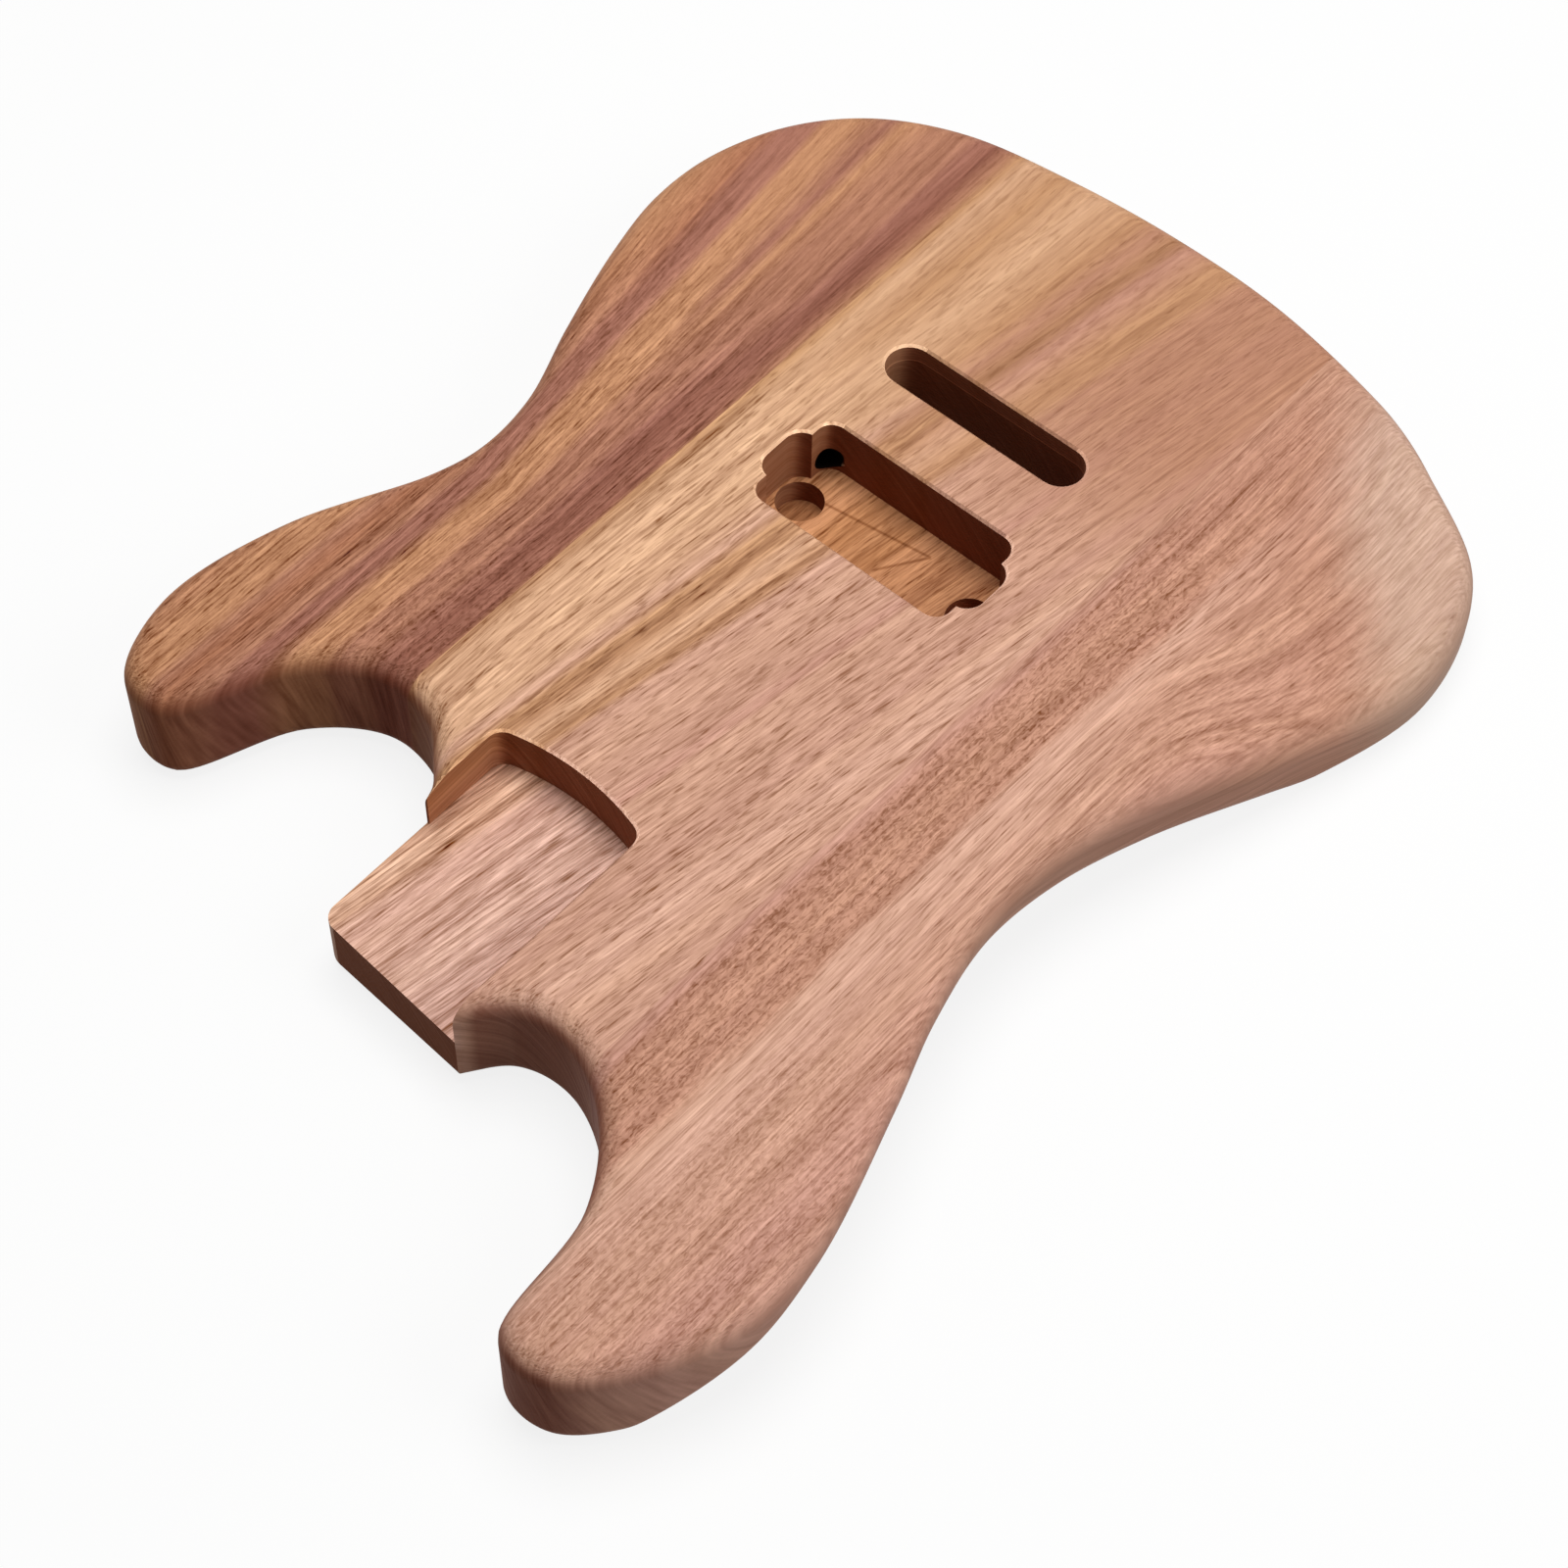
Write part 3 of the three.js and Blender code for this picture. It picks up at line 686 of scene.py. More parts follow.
def board_tree(tools):
    """Geometry nodes that rout a blank, saw out one board between two joints and give it its wood."""
    sizes = dict.fromkeys(("Bass Side", "Treble Side", "Stock Length", "Stock Thickness"), "Float")
    inputs = {"Blank": "Geometry", **sizes, "Wood": "Material"}
    g = new_group("Board from blank", "GeometryNodeTree", inputs, {"Board": "Geometry"})
    given = g.add("NodeGroupInput").outputs
    rout = g.add("GeometryNodeMeshBoolean", {"Mesh 1": given["Blank"]}, operation="DIFFERENCE", solver="MANIFOLD")
    for tool in tools:
        cutter = g.add("GeometryNodeObjectInfo", {"Object": tool})
        g.feed(rout.inputs["Mesh 2"], cutter.outputs["Geometry"])
    bass, treble = given["Bass Side"], given["Treble Side"]
    size = g.join(g.less(treble, bass), given["Stock Length"], given["Stock Thickness"])
    middle = g.join(g.product(g.math("ADD", treble, bass), 0.5), 0.0, 0.0)
    stock = g.add("GeometryNodeMeshCube", {"Size": size}).outputs["Mesh"]
    moved = g.add("GeometryNodeTransform", {"Geometry": stock, "Translation": middle})
    saw = g.add("GeometryNodeMeshBoolean", operation="INTERSECT", solver="MANIFOLD")
    for part in (rout.outputs["Mesh"], moved.outputs["Geometry"]):
        g.feed(saw.inputs["Mesh 2"], part)
    real = g.add("GeometryNodeRealizeInstances", {"Geometry": saw.outputs["Mesh"]}).outputs["Geometry"]
    finish = g.add("GeometryNodeSetMaterial", {"Geometry": real, "Material": given["Wood"]})
    g.add("NodeGroupOutput", {"Board": finish.outputs["Geometry"]})
    return g.tree


def as_plain_mesh(made):
    """The object's evaluated mesh takes the place of its own mesh and modifiers."""
    depsgraph = bpy.context.evaluated_depsgraph_get()
    depsgraph.update()
    mesh = bpy.data.meshes.new_from_object(made.evaluated_get(depsgraph), depsgraph=depsgraph)
    made.modifiers.clear()
    old, made.data = made.data, mesh
    bpy.data.meshes.remove(old)
    mesh.name = made.name


def mark_routed(s, made):
    """Stores on each face whether a tool cut it, so that the wood can show the tool's marks there."""
    faces = made.data.polygons
    centres, normals = np.empty((2, len(faces) * 3))
    faces.foreach_get("center", centres)
    faces.foreach_get("normal", normals)
    centres, level = centres.reshape(-1, 3), np.abs(normals[2::3]) > LEVEL_FACE
    flat = centres[:, :2] - (s.neck_line, s.pocket_end)
    below = face_height(s, "front", flat) - centres[:, 2]
    above = centres[:, 2] - face_height(s, "back", flat)
    places, _ = outline(s)
    nearest = np.full(len(flat), np.inf)
    for start in range(0, len(flat), FACES_AT_ONCE):
        part = slice(start, start + FACES_AT_ONCE)
        nearest[part] = np.linalg.norm(flat[part][:, None] - places[None], axis=2).min(1)
    slack = np.where(level, LEVEL_SLACK, UPRIGHT_SLACK)
    inner = (below > slack) & (above > slack)
    pocket = (np.abs(flat[:, 0]) < s.pocket_width / 2 + s.heel_proud) & (flat[:, 1] > 0)
    pocket &= below < s.pocket_depth + POCKET_SLACK
    routed = inner & ((nearest > ROUNDED_EDGES * s.edge_radius) | pocket)
    layer = made.data.attributes.new("routed", "FLOAT", "FACE")
    layer.data.foreach_set("value", routed.astype(np.float32))


def build_board(name, node, bass_side, treble_side, wood):
    """One board of the routed body, as its own piece in place of the CAD node."""
    s = settings()
    made = new_object(name, *blank(s))
    tools = cutters(s)
    tree = board_tree(tools)
    modifier = made.modifiers.new("Board", "NODES")
    modifier.node_group = tree
    named = {item.name: item.identifier for item in tree.interface.items_tree if item.in_out == "INPUT"}
    given = {
        "Bass Side": bass_side,
        "Treble Side": treble_side,
        "Stock Length": STOCK_LENGTHS * s.body_length,
        "Stock Thickness": STOCK_THICKNESSES * s.body_thickness,
        "Wood": wood,
    }
    for label, value in given.items():
        modifier[named[label]] = value
    as_plain_mesh(made)
    for tool in tools:
        mesh = tool.data
        bpy.data.objects.remove(tool)
        bpy.data.meshes.remove(mesh)
    bpy.data.node_groups.remove(tree)
    made.data.transform(Matrix.Translation((s.neck_line, s.pocket_end, 0)))
    made.data.polygons.foreach_set("use_smooth", [True] * len(made.data.polygons))
    made.data.set_sharp_from_angle(angle=SHARP_ANGLE)
    weighted = made.modifiers.new("Even shading", "WEIGHTED_NORMAL")
    weighted.keep_sharp = True
    as_plain_mesh(made)
    mark_routed(s, made)
    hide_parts(node)
    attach(made, BODY)


# Wood: every place and size is in millimetres, and places start at the neck pocket's inner end

def grain_group():
    """A group for wood with its grain along Y: growth lines follow Ring, and fibres and pores follow Place."""
    name = "Wood grain"
    if name in bpy.data.node_groups:
        return bpy.data.node_groups[name]
    inputs = {"Place": "Vector", "Ring": "Float", "Seed": "Float", "Curl": "Float"}
    g = new_group(name, "ShaderNodeTree", inputs, dict.fromkeys(GRAIN_PARTS, "Float"))
    given = g.add("NodeGroupInput").outputs
    x, y, z = g.split(given["Place"])
    along = g.total(y, (given["Seed"], 411))
    ring = g.total(given["Ring"], (given["Seed"], 37))
    slow = g.join(ring, along, g.product(z, 0.5))
    wander = g.noise(slow, (45, 190, 45), 1)
    ripple = g.noise(slow, (6, 34, 20), 1)
    shifted = g.total(ring, (wander, 1.6), (ripple, 0.3))
    growth = g.join(shifted, along, g.product(z, 0.06))
    drift = g.noise(growth, (13, 420, 13))
    medium = g.noise(growth, (3.4, 180, 3.4))
    fine = g.noise(growth, (1.5, 85, 1.5), 1)
    thin = g.noise(growth, (0.74, 40, 0.74), 1)
    lines = g.total((medium, 0.34), (fine, 0.6), (thin, 0.52))

    lean = g.less(given["Ring"], x)
    place = g.join(g.total(shifted, (z, 0.9)), along, g.total(z, (lean, 0.3)))
    fibres = g.noise(place, (0.52, 13, 0.52), 2, 0.6)
    crowd = g.noise(growth, (5, 60, 5), 1)
    short = g.step(g.total(g.noise(place, (0.68, 7, 0.68), 1), (crowd, 0.3)), 0.2, 1)
    long = g.step(g.noise(place, (0.72, 26, 0.72), 1), 0.25, 1)
    straight = g.most(short, g.product(long, 0.85))
    swirl = {"Vector": g.vector("DIVIDE", place, (2.6, 4, 2.6)), "Scale": 1, "Detail": 1}
    whirl = g.vector("SUBTRACT", g.add("ShaderNodeTexNoise", swirl).outputs["Color"], (0.5, 0.5, 0.5))
    curled = g.vector("MULTIPLY_ADD", whirl, (2.9, 3.4, 2.9), place)
    curly = g.step(g.noise(curled, (0.78, 2.9, 0.78)), -0.35, 0.75)
    pores = g.pick(given["Curl"], straight, curly)
    g.add("NodeGroupOutput", dict(zip(GRAIN_PARTS, (drift, lines, fibres, pores))))
    return g.tree


class WoodGraph(Graph):
    """A new wood material, with the place of each point in it and the way that its face points."""

    def __init__(self, name):
        self.material = bpy.data.materials.new(name)
        super().__init__(emptied(self.material))
        s = settings()
        coordinates = self.add("ShaderNodeTexCoord").outputs
        moved = self.vector("SUBTRACT", coordinates["Object"], (s.neck_line, s.pocket_end, 0))
        self.place = self.vector("MULTIPLY", moved, (MM, MM, MM))
        self.x, self.y, self.z = self.split(self.place)
        self.sunk = self.less(s.body_thickness * MM, self.z)
        self.facing = self.split(coordinates["Normal"])
        self.shader = self.add("ShaderNodeBsdfPrincipled")
        self.add("ShaderNodeOutputMaterial", {"Surface": self.shader.outputs[0]})


def grain_layer(g, ring, seed, curl=0):
    """The grain's parts by name, with fibres and pores fainter on steep faces, which cut across them."""
    inputs = {"Place": g.place, "Ring": ring, "Seed": seed, "Curl": curl}
    outputs = g.add("ShaderNodeGroup", inputs, node_tree=grain_group()).outputs
    grain = {label: outputs[label] for label in GRAIN_PARTS}
    shown = g.step(g.size(g.facing["Z"]), 0.35, 0.9, 0.16, 1)
    for label in ("Fibres", "Pores"):
        grain[label] = g.product(grain[label], shown)
    return grain


def bands(g, ring, grain, wander, stops):
    """Colours laid across the grain, each at its place, with borders that wander."""
    low, high = stops[0][0], stops[-1][0]
    moved = g.total(ring, (grain["Drift"], wander), (grain["Lines"], 0.35 * wander))
    share = g.math("DIVIDE", g.less(moved, low), high - low, clamp=True)
    ramp = g.add("ShaderNodeValToRGB", {"Fac": share})
    elements = ramp.color_ramp.elements
    while len(elements) < len(stops):
        elements.new(0.5)
    for element, (where, colour) in zip(elements, stops):
        element.position = (where - low) / (high - low)
        element.color = (*colour, 1)
    return ramp.outputs["Color"]


def shade(g, colour, grain, lines, fibres, pores):
    """Growth lines, fibres and pores over a base colour, each with its strength."""
    strengths = (0.04, lines, fibres, g.product(pores, -1))
    change = g.total(*zip((grain[label] for label in GRAIN_PARTS), strengths))
    yellower = g.total(grain["Drift"], (grain["Lines"], 0.5))
    warmer = g.vector("MULTIPLY_ADD", yellower, (0, 0.012, -0.035), (1, 1, 1))
    return g.vector("MULTIPLY", g.tone(colour, change), warmer)


def lead_hole(g):
    """One inside the drilled hole for the pickup's leads."""
    s = settings()
    start, end = lead_ends(s)
    offset = g.vector("SUBTRACT", g.place, start * MM)
    apart = g.vector("CROSS_PRODUCT", offset, (end - start).normalized())
    away = g.add("ShaderNodeVectorMath", {0: apart}, operation="LENGTH").outputs["Value"]
    bore = s.lead_radius * MM
    return g.product(g.step(away, bore + 0.5, bore + 0.1), g.step(g.x, start.x * MM - 2, start.x * MM))


def finish_wood(g, colour, grain, end_grain_and_shade_share, marks=0):
    """End grain, routed walls and floors, roughness and relief, the same for every board."""
    c = colours()
    lines, fibres, pores = (grain[label] for label in GRAIN_PARTS[1:])
    flatness = g.size(g.facing["Z"])
    end = g.step(g.size(g.facing["Y"]), 0.4, 0.95)
    level = g.step(flatness, 0.75, 0.9)
    upright = g.step(flatness, 0.85, 0.4)
    routed = g.add("ShaderNodeAttribute", attribute_name="routed").outputs["Fac"]

    # The outside: end grain is darker wood, and the walls of the two cutaways get painted shade
    end_grain_and_shade_colour = g.tone(g.mix(end_grain_and_shade_share, colour, c.end_grain_and_shade_tone), g.total((lines, 0.2), (pores, -0.1)))
    # Painted shade on the walls of both cutaways, where they face inwards near the neck
    inner = g.step(g.product(g.x, g.facing["X"]), 6, -6)
    close = g.most(inner, g.step(g.size(g.x), 75, 40))
    painted_cutaway_shade = g.product(close, g.step(g.y, -5, 12), 0.85)
    end_grain_and_cutaway_shade = g.most(end, painted_cutaway_shade)
    sanded = g.mix(g.product(end_grain_and_cutaway_shade, upright, end_grain_and_shade_share), colour, end_grain_and_shade_colour)

    # Routed walls, darker as cut wood and with painted shade, and with a paler band and rim near the top of the
    # tremolo slot
    pocket = g.step(g.y, -10, -2)
    slot = g.step(g.y, -165, -169)
    band = g.product(slot, g.step(g.z, 33.2, 34))
    rim = g.product(slot, g.line(g.z, 33.4, 0.5))
    toasted = g.mix(0.6, colour, c.router_floor)
    wall_tone_and_shade = g.mix(g.total(0.45, (end, 0.37), (pocket, -0.14)), toasted, c.end_grain_and_shade_tone)
    wall = g.tone(wall_tone_and_shade, g.total((lines, 0.14), (end, -0.3), (band, 0.25), (rim, 0.9), 0.14))

    # Routed floors: orange in the pickup cavity with painted shade towards its bass end, plain in the neck
    # pocket, darker deep in the leg holes with painted shade, and marked by the pencil strokes
    # Painted shade from the pickup cavity's bass-end wall
    darker = g.step(g.x, -36, 0, -0.2, 0)
    orange = g.tone(c.router_floor, g.total((lines, 0.45), (pores, -0.3), (fibres, 0.25), darker))
    floor = g.mix(g.product(0.85, g.less(1, pocket)), colour, orange)
    # Pencil strokes, and painted shade low in the leg holes
    pencilled_and_shaded_floor = g.tone(floor, g.total((marks, -0.42), (g.step(g.z, 16, 11), -0.3)))
    cut = g.mix(level, wall, pencilled_and_shaded_floor)

    # Painted highlight: the eased arris round each cavity is paler than the wood, most where it faces the neck,
    # away from the lamps
    arris = g.product(g.step(flatness, 0.3, 0.6), g.step(flatness, 0.95, 0.8))
    arris_painted_highlight = g.mix(arris, cut, g.tone(colour, g.step(g.facing["Y"], -0.3, 0.5, 0.35, 0.85)))
    # Painted shade: the inside of the lead hole is nearly black
    dark = g.mix(lead_hole(g), arris_painted_highlight, HOLE_SHADE)
    dull = g.most(routed, g.product(end_grain_and_cutaway_shade, upright))
    chatter = g.product(g.math("SINE", g.product(g.z, 5.2)), routed, upright, 0.25)
    height = g.total((pores, -1), (fibres, 0.35), chatter)
    relief = g.add("ShaderNodeBump", {"Height": height, "Strength": 0.5, "Distance": 0.0002})
    for label, value in {
        "Base Color": g.mix(routed, sanded, dark),
        "Roughness": g.total(0.6, (fibres, 0.05), (routed, 0.12), (pores, 0.12)),
        "Specular IOR Level": g.math("MULTIPLY_ADD", dull, -0.11, 0.14),
        "Normal": relief.outputs["Normal"],
    }.items():
        g.feed(g.shader.inputs[label], value)
    return g.material


def bass_wood():
    """Pinkish wood with a darker ribbon of curly pores, and paler cream wood on the front contour, partly a
    painted sheen.
    """
    c, g = colours(), WoodGraph("bass_side_wood")
    edge = g.total(g.x, g.y, (g.noise(g.place, (12, 40, 12)), 7))
    # Where the front contour is paler cream: partly the wood's own tone with its growth arcs, partly a painted
    # sheen; the grain is calmer there
    pale = g.product(g.step(edge, -312, -354), g.step(g.x, -70, -100, 0.2, 1))
    bent = g.step(g.y, -60, -170, 0.3, 1.7)
    ring = g.total(g.x, g.product(g.sunk, bent), (g.y, -0.015))
    border = g.total(g.x, (g.noise(g.place, (7, 32, 7)), 1.8))
    ribbon = g.product(g.step(border, -97.5, -92), g.step(border, -69.5, -74))
    horn = g.product(g.step(g.y, -30, 60), g.step(border, -96, -112))
    belly = g.product(g.step(border, -104, -112), g.step(g.y, -40, -90))
    fading = g.step(g.y, -215, -150)
    curl = g.most(g.product(ribbon, g.total(0.35, (fading, 0.65))), g.total((horn, 0.85), (belly, 0.3)))
    grain = grain_layer(g, ring, 1, curl)
    base = bands(g, border, grain, 0.8, (
        (-170, c.salmon), (-128, c.salmon), (-112, c.rose), (-104, c.pale_tan), (-97, c.pale_tan),
        (-93, c.ribbon), (-75, c.ribbon), (-71.5, c.salmon), (-68, c.rose),
    ))
    tail = g.product(g.step(g.y, -60, -150), g.step(border, -96, -106))
    browner = g.mix(g.product(tail, 0.5), base, c.ribbon)
    faded = g.mix(g.product(g.less(1, fading), 0.8), browner, c.ribbon)
    arcs = g.noise(g.join(g.total(g.x, (g.sunk, 3.1), (g.y, 0.1)), g.y, g.sunk), (1.6, 90, 60), 1)
    body = g.mix(g.product(pale, 0.88), faded, g.tone(c.cream, g.product(arcs, 0.085)))
    seam = g.product(g.line(g.x, -71, 1.3), g.step(g.noise(g.place, (3, 5, 3), 1), -0.3, 0.6))
    lined = g.tone(body, g.product(seam, -0.2))
    calm = g.less(1, g.product(pale, 0.75))
    pores = g.product(g.total(0.3, (ribbon, 0.06)), calm)
    return finish_wood(g, shade(g, lined, grain, g.product(calm, 0.24), 0.26, pores), grain, 0.86)


def centre_wood():
    """Rose wood with leaning grain, and golden wood towards the treble joint."""
    c, g = colours(), WoodGraph("centre_wood")
    joint = settings().treble_glue_line * MM
    lean = g.total(g.x, (g.y, -0.1364))
    spread = g.math("MULTIPLY_ADD", g.y, -0.0031, 1)
    fan = g.less(joint, g.math("DIVIDE", g.less(joint, g.x), spread))
    golden = g.step(g.less(lean, 14), -0.5, 0.5)
    ring = g.total(g.pick(golden, lean, fan), (g.sunk, 0.9))
    grain = grain_layer(g, ring, 2)
    flat = g.less(ring, g.product(g.sunk, 0.9))
    front = bands(g, flat, grain, 0.9, (
        (-95, c.rose), (-62, c.rose), (-52, c.pale_tan), (-42, c.rose), (-18, c.rose), (-16, c.salmon),
        (-12, c.rose), (11, c.rose), (14, c.honey), (19, c.gold), (23, c.honey), (27.5, c.honey),
        (31, c.rose), (36, c.gold), (54, c.gold), (58, c.honey),
    ))
    back = bands(g, flat, grain, 0.9, (
        (-100, c.rose), (-60, c.rose), (-44, c.ribbon), (-33, c.russet), (8, c.russet), (13.5, c.honey),
        (16.2, c.honey), (22, c.ribbon), (25, c.honey), (29, c.russet), (33, c.honey), (42, c.gold),
        (50, c.honey), (56, c.gold), (58, c.honey),
    ))
    mixed = g.mix(g.step(g.y, -120, -215), front, back)
    inside = g.product(g.step(g.y, -2, 4), g.step(g.size(g.x), 30, 27.5))
    pocket = g.product(inside, g.step(g.sunk, 6, 14), g.step(g.sunk, 24, 19))
    base = g.mix(g.product(pocket, g.step(g.x, 18, -10, 0.45, 0.85)), mixed, c.washed)
    near = g.step(g.y, -190, -110)
    lines = g.total(0.14, (near, 0.1), (g.product(near, g.step(flat, 8, 16)), 0.16), (pocket, 0.18))
    fibres = g.total(0.14, (near, 0.13), (pocket, 0.12))
    pores = g.total(0.18, (near, 0.18), (pocket, -0.16))
    broken = g.noise(g.place, (9, 42, 9), 1)
    streak = g.total(flat, (grain["Lines"], 1.6))
    dark = g.product(g.most(g.line(streak, 25, 3), g.line(streak, 15, 1.8)), g.step(broken, -0.7, 0.5))
    thin = g.product(g.line(flat, -31.2, 0.9), g.step(broken, -0.5, 0.3))
    streaked = g.tone(base, g.total((dark, -0.2), (thin, -0.2), (pocket, 0.07)))
    finished = shade(g, streaked, grain, lines, fibres, pores)
    # Painted sheen on the heel's front face: paler and greyer, as if lit by light off the floor; the heel also
    # takes less of the end grain's darkening
    heel = g.product(g.step(g.y, 68, 74), g.step(g.size(g.x), 32, 29))
    facing = g.product(heel, g.step(g.facing["Y"], 0.5, 0.9))
    heel_painted_sheen_colour = g.mix(g.product(facing, 0.6), finished, g.tone(c.washed, 0.2))
    return finish_wood(g, heel_painted_sheen_colour, grain, g.total(0.84, (heel, -0.62)), scribed(g))


def scribed(g):
    """The two pencil strokes on the pickup cavity's floor: one along them, none elsewhere."""
    found = 0
    for (ax, ay), (bx, by) in STROKES:
        along = math.hypot(bx - ax, by - ay)
        ux, uy = (bx - ax) / along, (by - ay) / along
        run = g.total((g.x, ux), (g.y, uy), -(ax * ux + ay * uy))
        off = g.total((g.x, -uy), (g.y, ux), ax * uy - ay * ux)
        stroke = g.product(g.line(off, 0, 0.95), g.step(run, -0.3, 0.3), g.step(run, along, along - 2))
        found = g.most(found, stroke)
    return g.product(found, g.step(g.sunk, 15, 18), g.step(g.sunk, 25, 23))


def treble_wood():
    """Dark plum beside the joint, then golden and mauve streaks that fan out towards the tail."""
    c, g = colours(), WoodGraph("treble_side_wood")
    joint = settings().treble_glue_line * MM
    past = g.most(g.total((g.y, -1), -60), 0)
    spread = g.math("MULTIPLY_ADD", past, 0.0038, 1)
    fan = g.math("ADD", joint, g.math("DIVIDE", g.less(g.x, joint), spread))
    ring = g.total(fan, (g.sunk, 0.12))
    dotted = g.product(g.step(g.y, -90, 10), g.step(g.x, 88, 76))
    grain = grain_layer(g, ring, 4, g.total(0.3, (dotted, 0.5)))
    front = bands(g, fan, grain, 1.7, (
        (58, c.umber), (59.5, c.plum), (62, c.mauve), (66, c.plum), (69, c.mauve), (73, c.umber),
        (79, c.umber), (83, c.amber), (91, c.amber), (93.5, c.umber), (95, c.mauve), (99, c.mauve),
        (102, c.umber), (108, c.cedar), (112, c.umber), (116, c.amber), (126, c.amber), (140, c.cedar),
    ))
    back = bands(g, fan, grain, 1.7, (
        (58, c.honey), (60, c.umber), (62, c.plum), (65, c.mauve), (67.5, c.umber), (74, c.umber),
        (79, c.amber), (81.5, c.umber), (82.5, c.mauve), (84.5, c.umber), (87, c.amber), (91, c.amber),
        (93.5, c.mauve), (97, c.mauve), (100, c.cedar), (110, c.amber), (120, c.cedar),
    ))
    base = g.mix(g.step(g.y, -110, -190), front, back)
    busy = g.step(g.y, -210, -120)
    strengths = (g.total(least, (busy, more)) for least, more in ((0.22, 0.12), (0.16, 0.18), (0.2, 0.26)))
    return finish_wood(g, shade(g, base, grain, *strengths), grain, 0.7)


# Operators

class GUITARBODY_OT_bass_board(bpy.types.Operator):
    """Build the bass-side board with its horn and its part of both contours"""

    bl_idname = "guitar_body.bass_board"
    bl_label = "Bass-side board"

    def execute(self, context):
        s = settings()
        joint = s.treble_glue_line - s.centre_board_width
        build_board("bass_side_wing", "bass_side_board", -s.body_width, joint, bass_wood())
        return {"FINISHED"}


class GUITARBODY_OT_centre_board(bpy.types.Operator):
    """Build the centre board with the neck pocket, the pickup cavity and the tremolo slot"""

    bl_idname = "guitar_body.centre_board"
    bl_label = "Centre board"

    def execute(self, context):
        s = settings()
        joint = s.treble_glue_line - s.centre_board_width
        build_board("centre_block", "centre_board", joint, s.treble_glue_line, centre_wood())
        return {"FINISHED"}


class GUITARBODY_OT_treble_board(bpy.types.Operator):
    """Build the treble-side board with its horn and the control cavity"""

    bl_idname = "guitar_body.treble_board"
    bl_label = "Treble-side board"

    def execute(self, context):
        s = settings()
        build_board("treble_side_wing", "treble_side_board", s.treble_glue_line, s.body_width, treble_wood())
        return {"FINISHED"}


def area_lamp(name, power, size, place):
    """A round lamp that shines on the middle of the scene."""
    data = bpy.data.lights.new(name, "AREA")
    data.shape, data.size, data.energy = "DISK", size, power
    lamp = add_object(name, data)
    lamp.location = place
    lamp.rotation_euler = (-Vector(place)).to_track_quat("-Z", "Y").to_euler()


def seen_clear(g):
    """One where the camera sees a surface, straight or in metal or glass, and none for all other light."""
    seen = g.add("ShaderNodeLightPath").outputs
    return g.most(seen["Is Camera Ray"], g.most(seen["Is Glossy Ray"], seen["Is Transmission Ray"]))


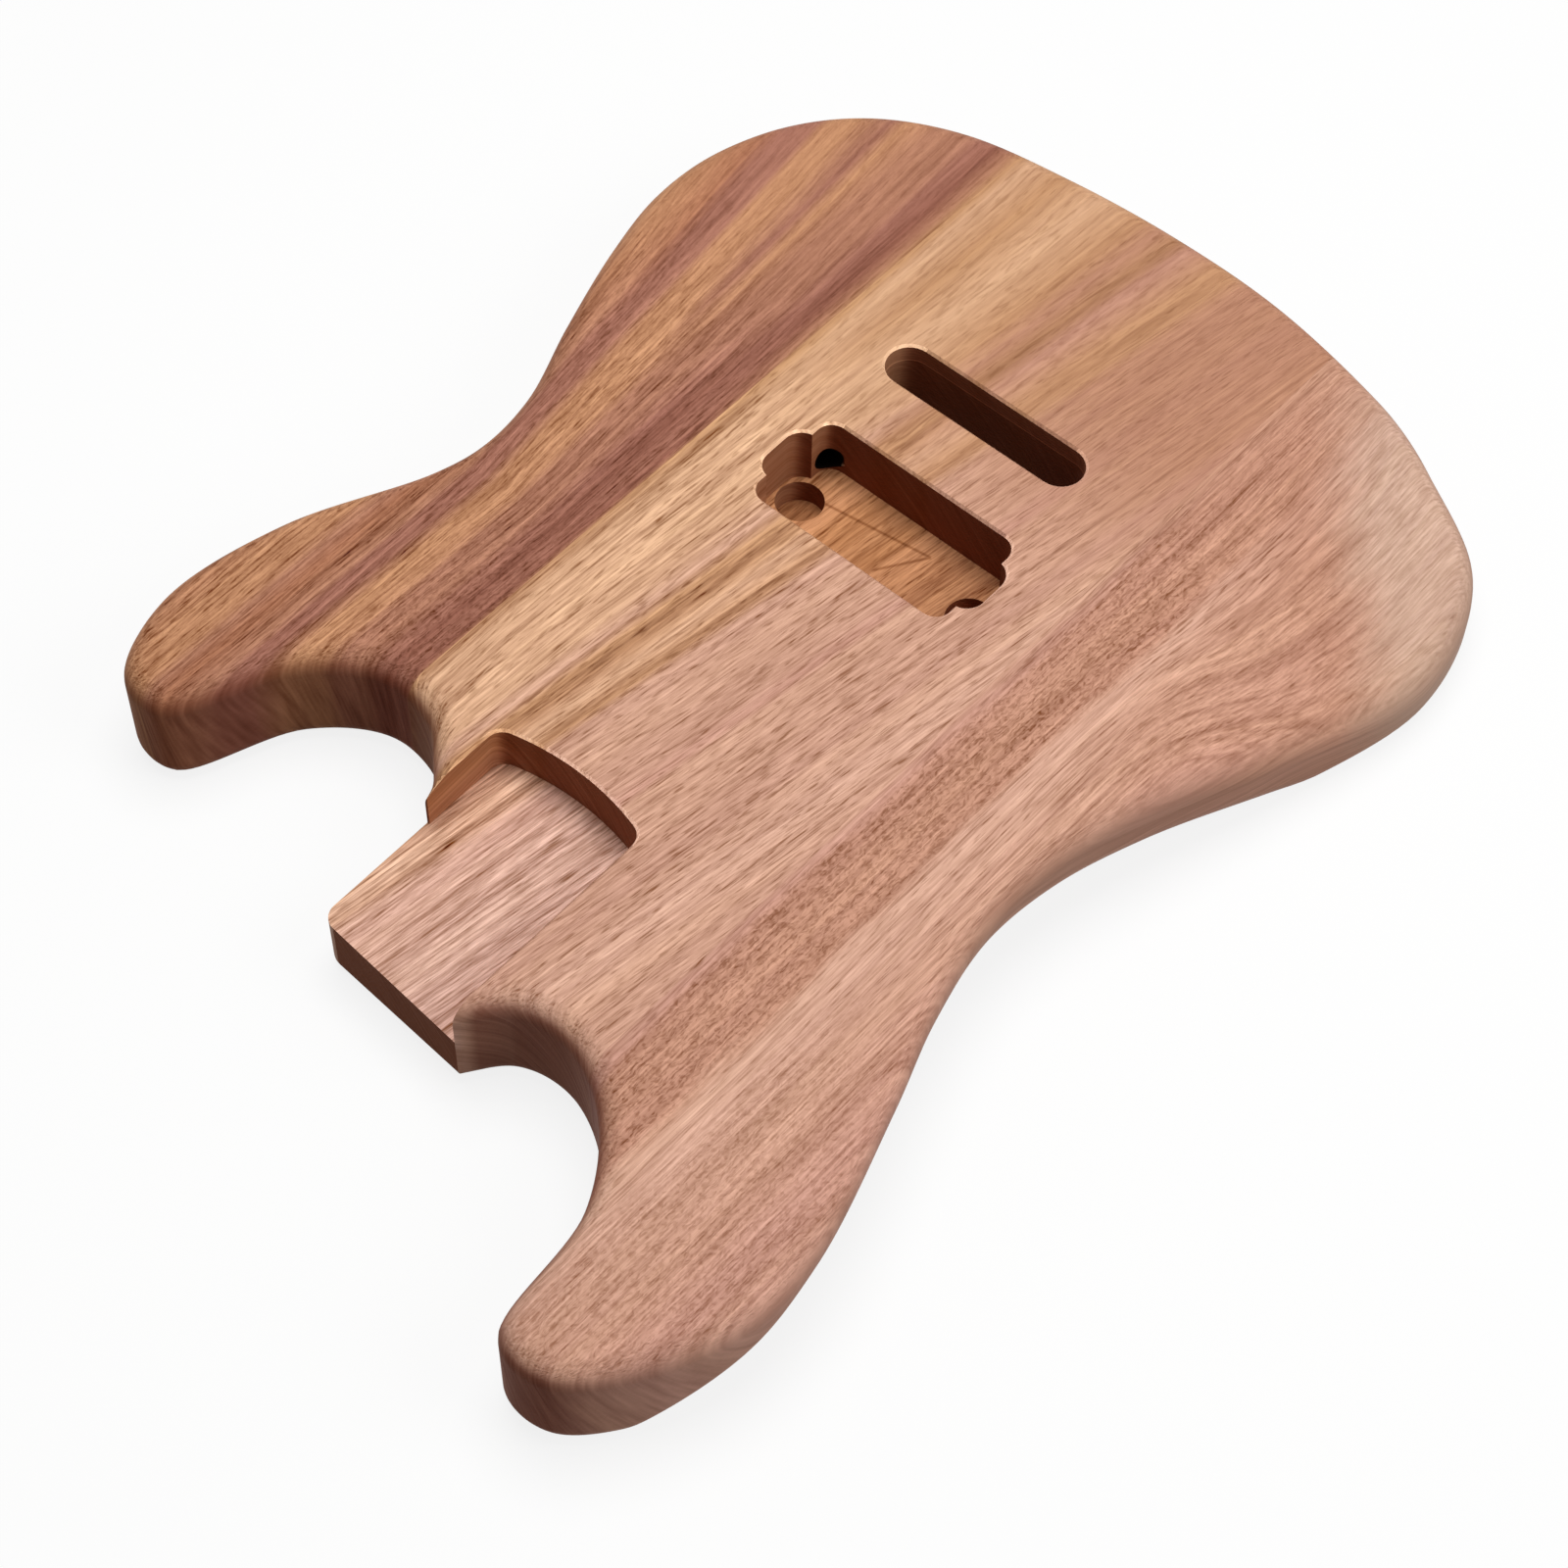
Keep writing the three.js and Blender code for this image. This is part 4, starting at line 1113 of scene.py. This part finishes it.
class GUITARBODY_OT_studio(bpy.types.Operator):
    """Set up the floor, the soft lamps, the pale surroundings and the camera"""

    bl_idname = "guitar_body.studio"
    bl_label = "Studio"

    def execute(self, context):
        t = context.scene.guitar_body_studio
        corners = [(x * FLOOR_REACH, y * FLOOR_REACH, 0) for x, y in ((-1, -1), (1, -1), (1, 1), (-1, 1))]
        floor = new_object("floor", corners, [(0, 1, 2, 3)])
        paint = bpy.data.materials.new("pale_floor")
        g = Graph(emptied(paint))
        clear = seen_clear(g)
        matt = g.add("ShaderNodeBsdfDiffuse", {"Color": g.mix(clear, FLOOR_SHADE, t.floor_tone)})
        white = g.add("ShaderNodeEmission", {"Color": WHITE, "Strength": 1})
        g.add("ShaderNodeOutputMaterial", {"Surface": g.blend(g.product(clear, FLOOR_GLOW), matt, white)})
        floor.data.materials.append(paint)

        world = bpy.data.worlds.new("pale_room")
        context.scene.world = world
        g = Graph(emptied(world))
        soft, white = (g.add("ShaderNodeBackground", {"Color": WHITE, "Strength": power}) for power in (t.sky, 1))
        g.add("ShaderNodeOutputWorld", {"Surface": g.blend(seen_clear(g), soft, white)})

        area_lamp("key_lamp", t.key_power, 1.1, (0.12, -0.2, 1.5))
        area_lamp("side_lamp", t.side_power, 1.2, (-1.3, -0.5, 1.2))

        data = bpy.data.cameras.new("camera")
        data.sensor_width, data.lens = SENSOR_WIDTH, t.lens
        camera = add_object("camera", data)
        right, ahead = Vector(t.camera_right).normalized(), Vector(t.camera_ahead).normalized()
        turned = Matrix((right, right.cross(ahead), -ahead)).transposed()
        camera.matrix_world = Matrix.Translation(t.camera_place) @ turned.to_4x4()
        context.scene.camera = camera
        context.scene.view_settings.view_transform = "Standard"
        return {"FINISHED"}


class GUITARBODY_PT_panel(bpy.types.Panel):
    """Buttons for each board and the studio, with their sizes and colours"""

    bl_label = "Guitar body"
    bl_idname = "GUITARBODY_PT_panel"
    bl_space_type = "VIEW_3D"
    bl_region_type = "UI"
    bl_category = "Guitar body"

    def draw(self, context):
        for operator in OPERATORS:
            self.layout.operator(operator.bl_idname)
        for group in (settings(), colours(), context.scene.guitar_body_studio):
            box = self.layout.box()
            for label in group.bl_rna.properties.keys():
                if label not in ("rna_type", "name"):
                    box.prop(group, label)


GROUPS = {
    "guitar_body_sizes": BodySizes,
    "guitar_body_colours": WoodColours,
    "guitar_body_studio": StudioSettings,
}
OPERATORS = (
    GUITARBODY_OT_studio,
    GUITARBODY_OT_bass_board,
    GUITARBODY_OT_centre_board,
    GUITARBODY_OT_treble_board,
)


def register():
    """Makes the classes known and keeps their settings in the scene."""
    for group in (*GROUPS.values(), *OPERATORS, GUITARBODY_PT_panel):
        bpy.utils.register_class(group)
    for label, group in GROUPS.items():
        setattr(bpy.types.Scene, label, PointerProperty(type=group))


def unregister():
    """Takes back what register did."""
    for label in GROUPS:
        delattr(bpy.types.Scene, label)
    for group in reversed((*GROUPS.values(), *OPERATORS, GUITARBODY_PT_panel)):
        bpy.utils.unregister_class(group)


def main():
    """Builds everything."""
    register()
    bpy.ops.guitar_body.studio()
    bpy.ops.guitar_body.bass_board()
    bpy.ops.guitar_body.centre_board()
    bpy.ops.guitar_body.treble_board()


if __name__ == "__main__":
    main()
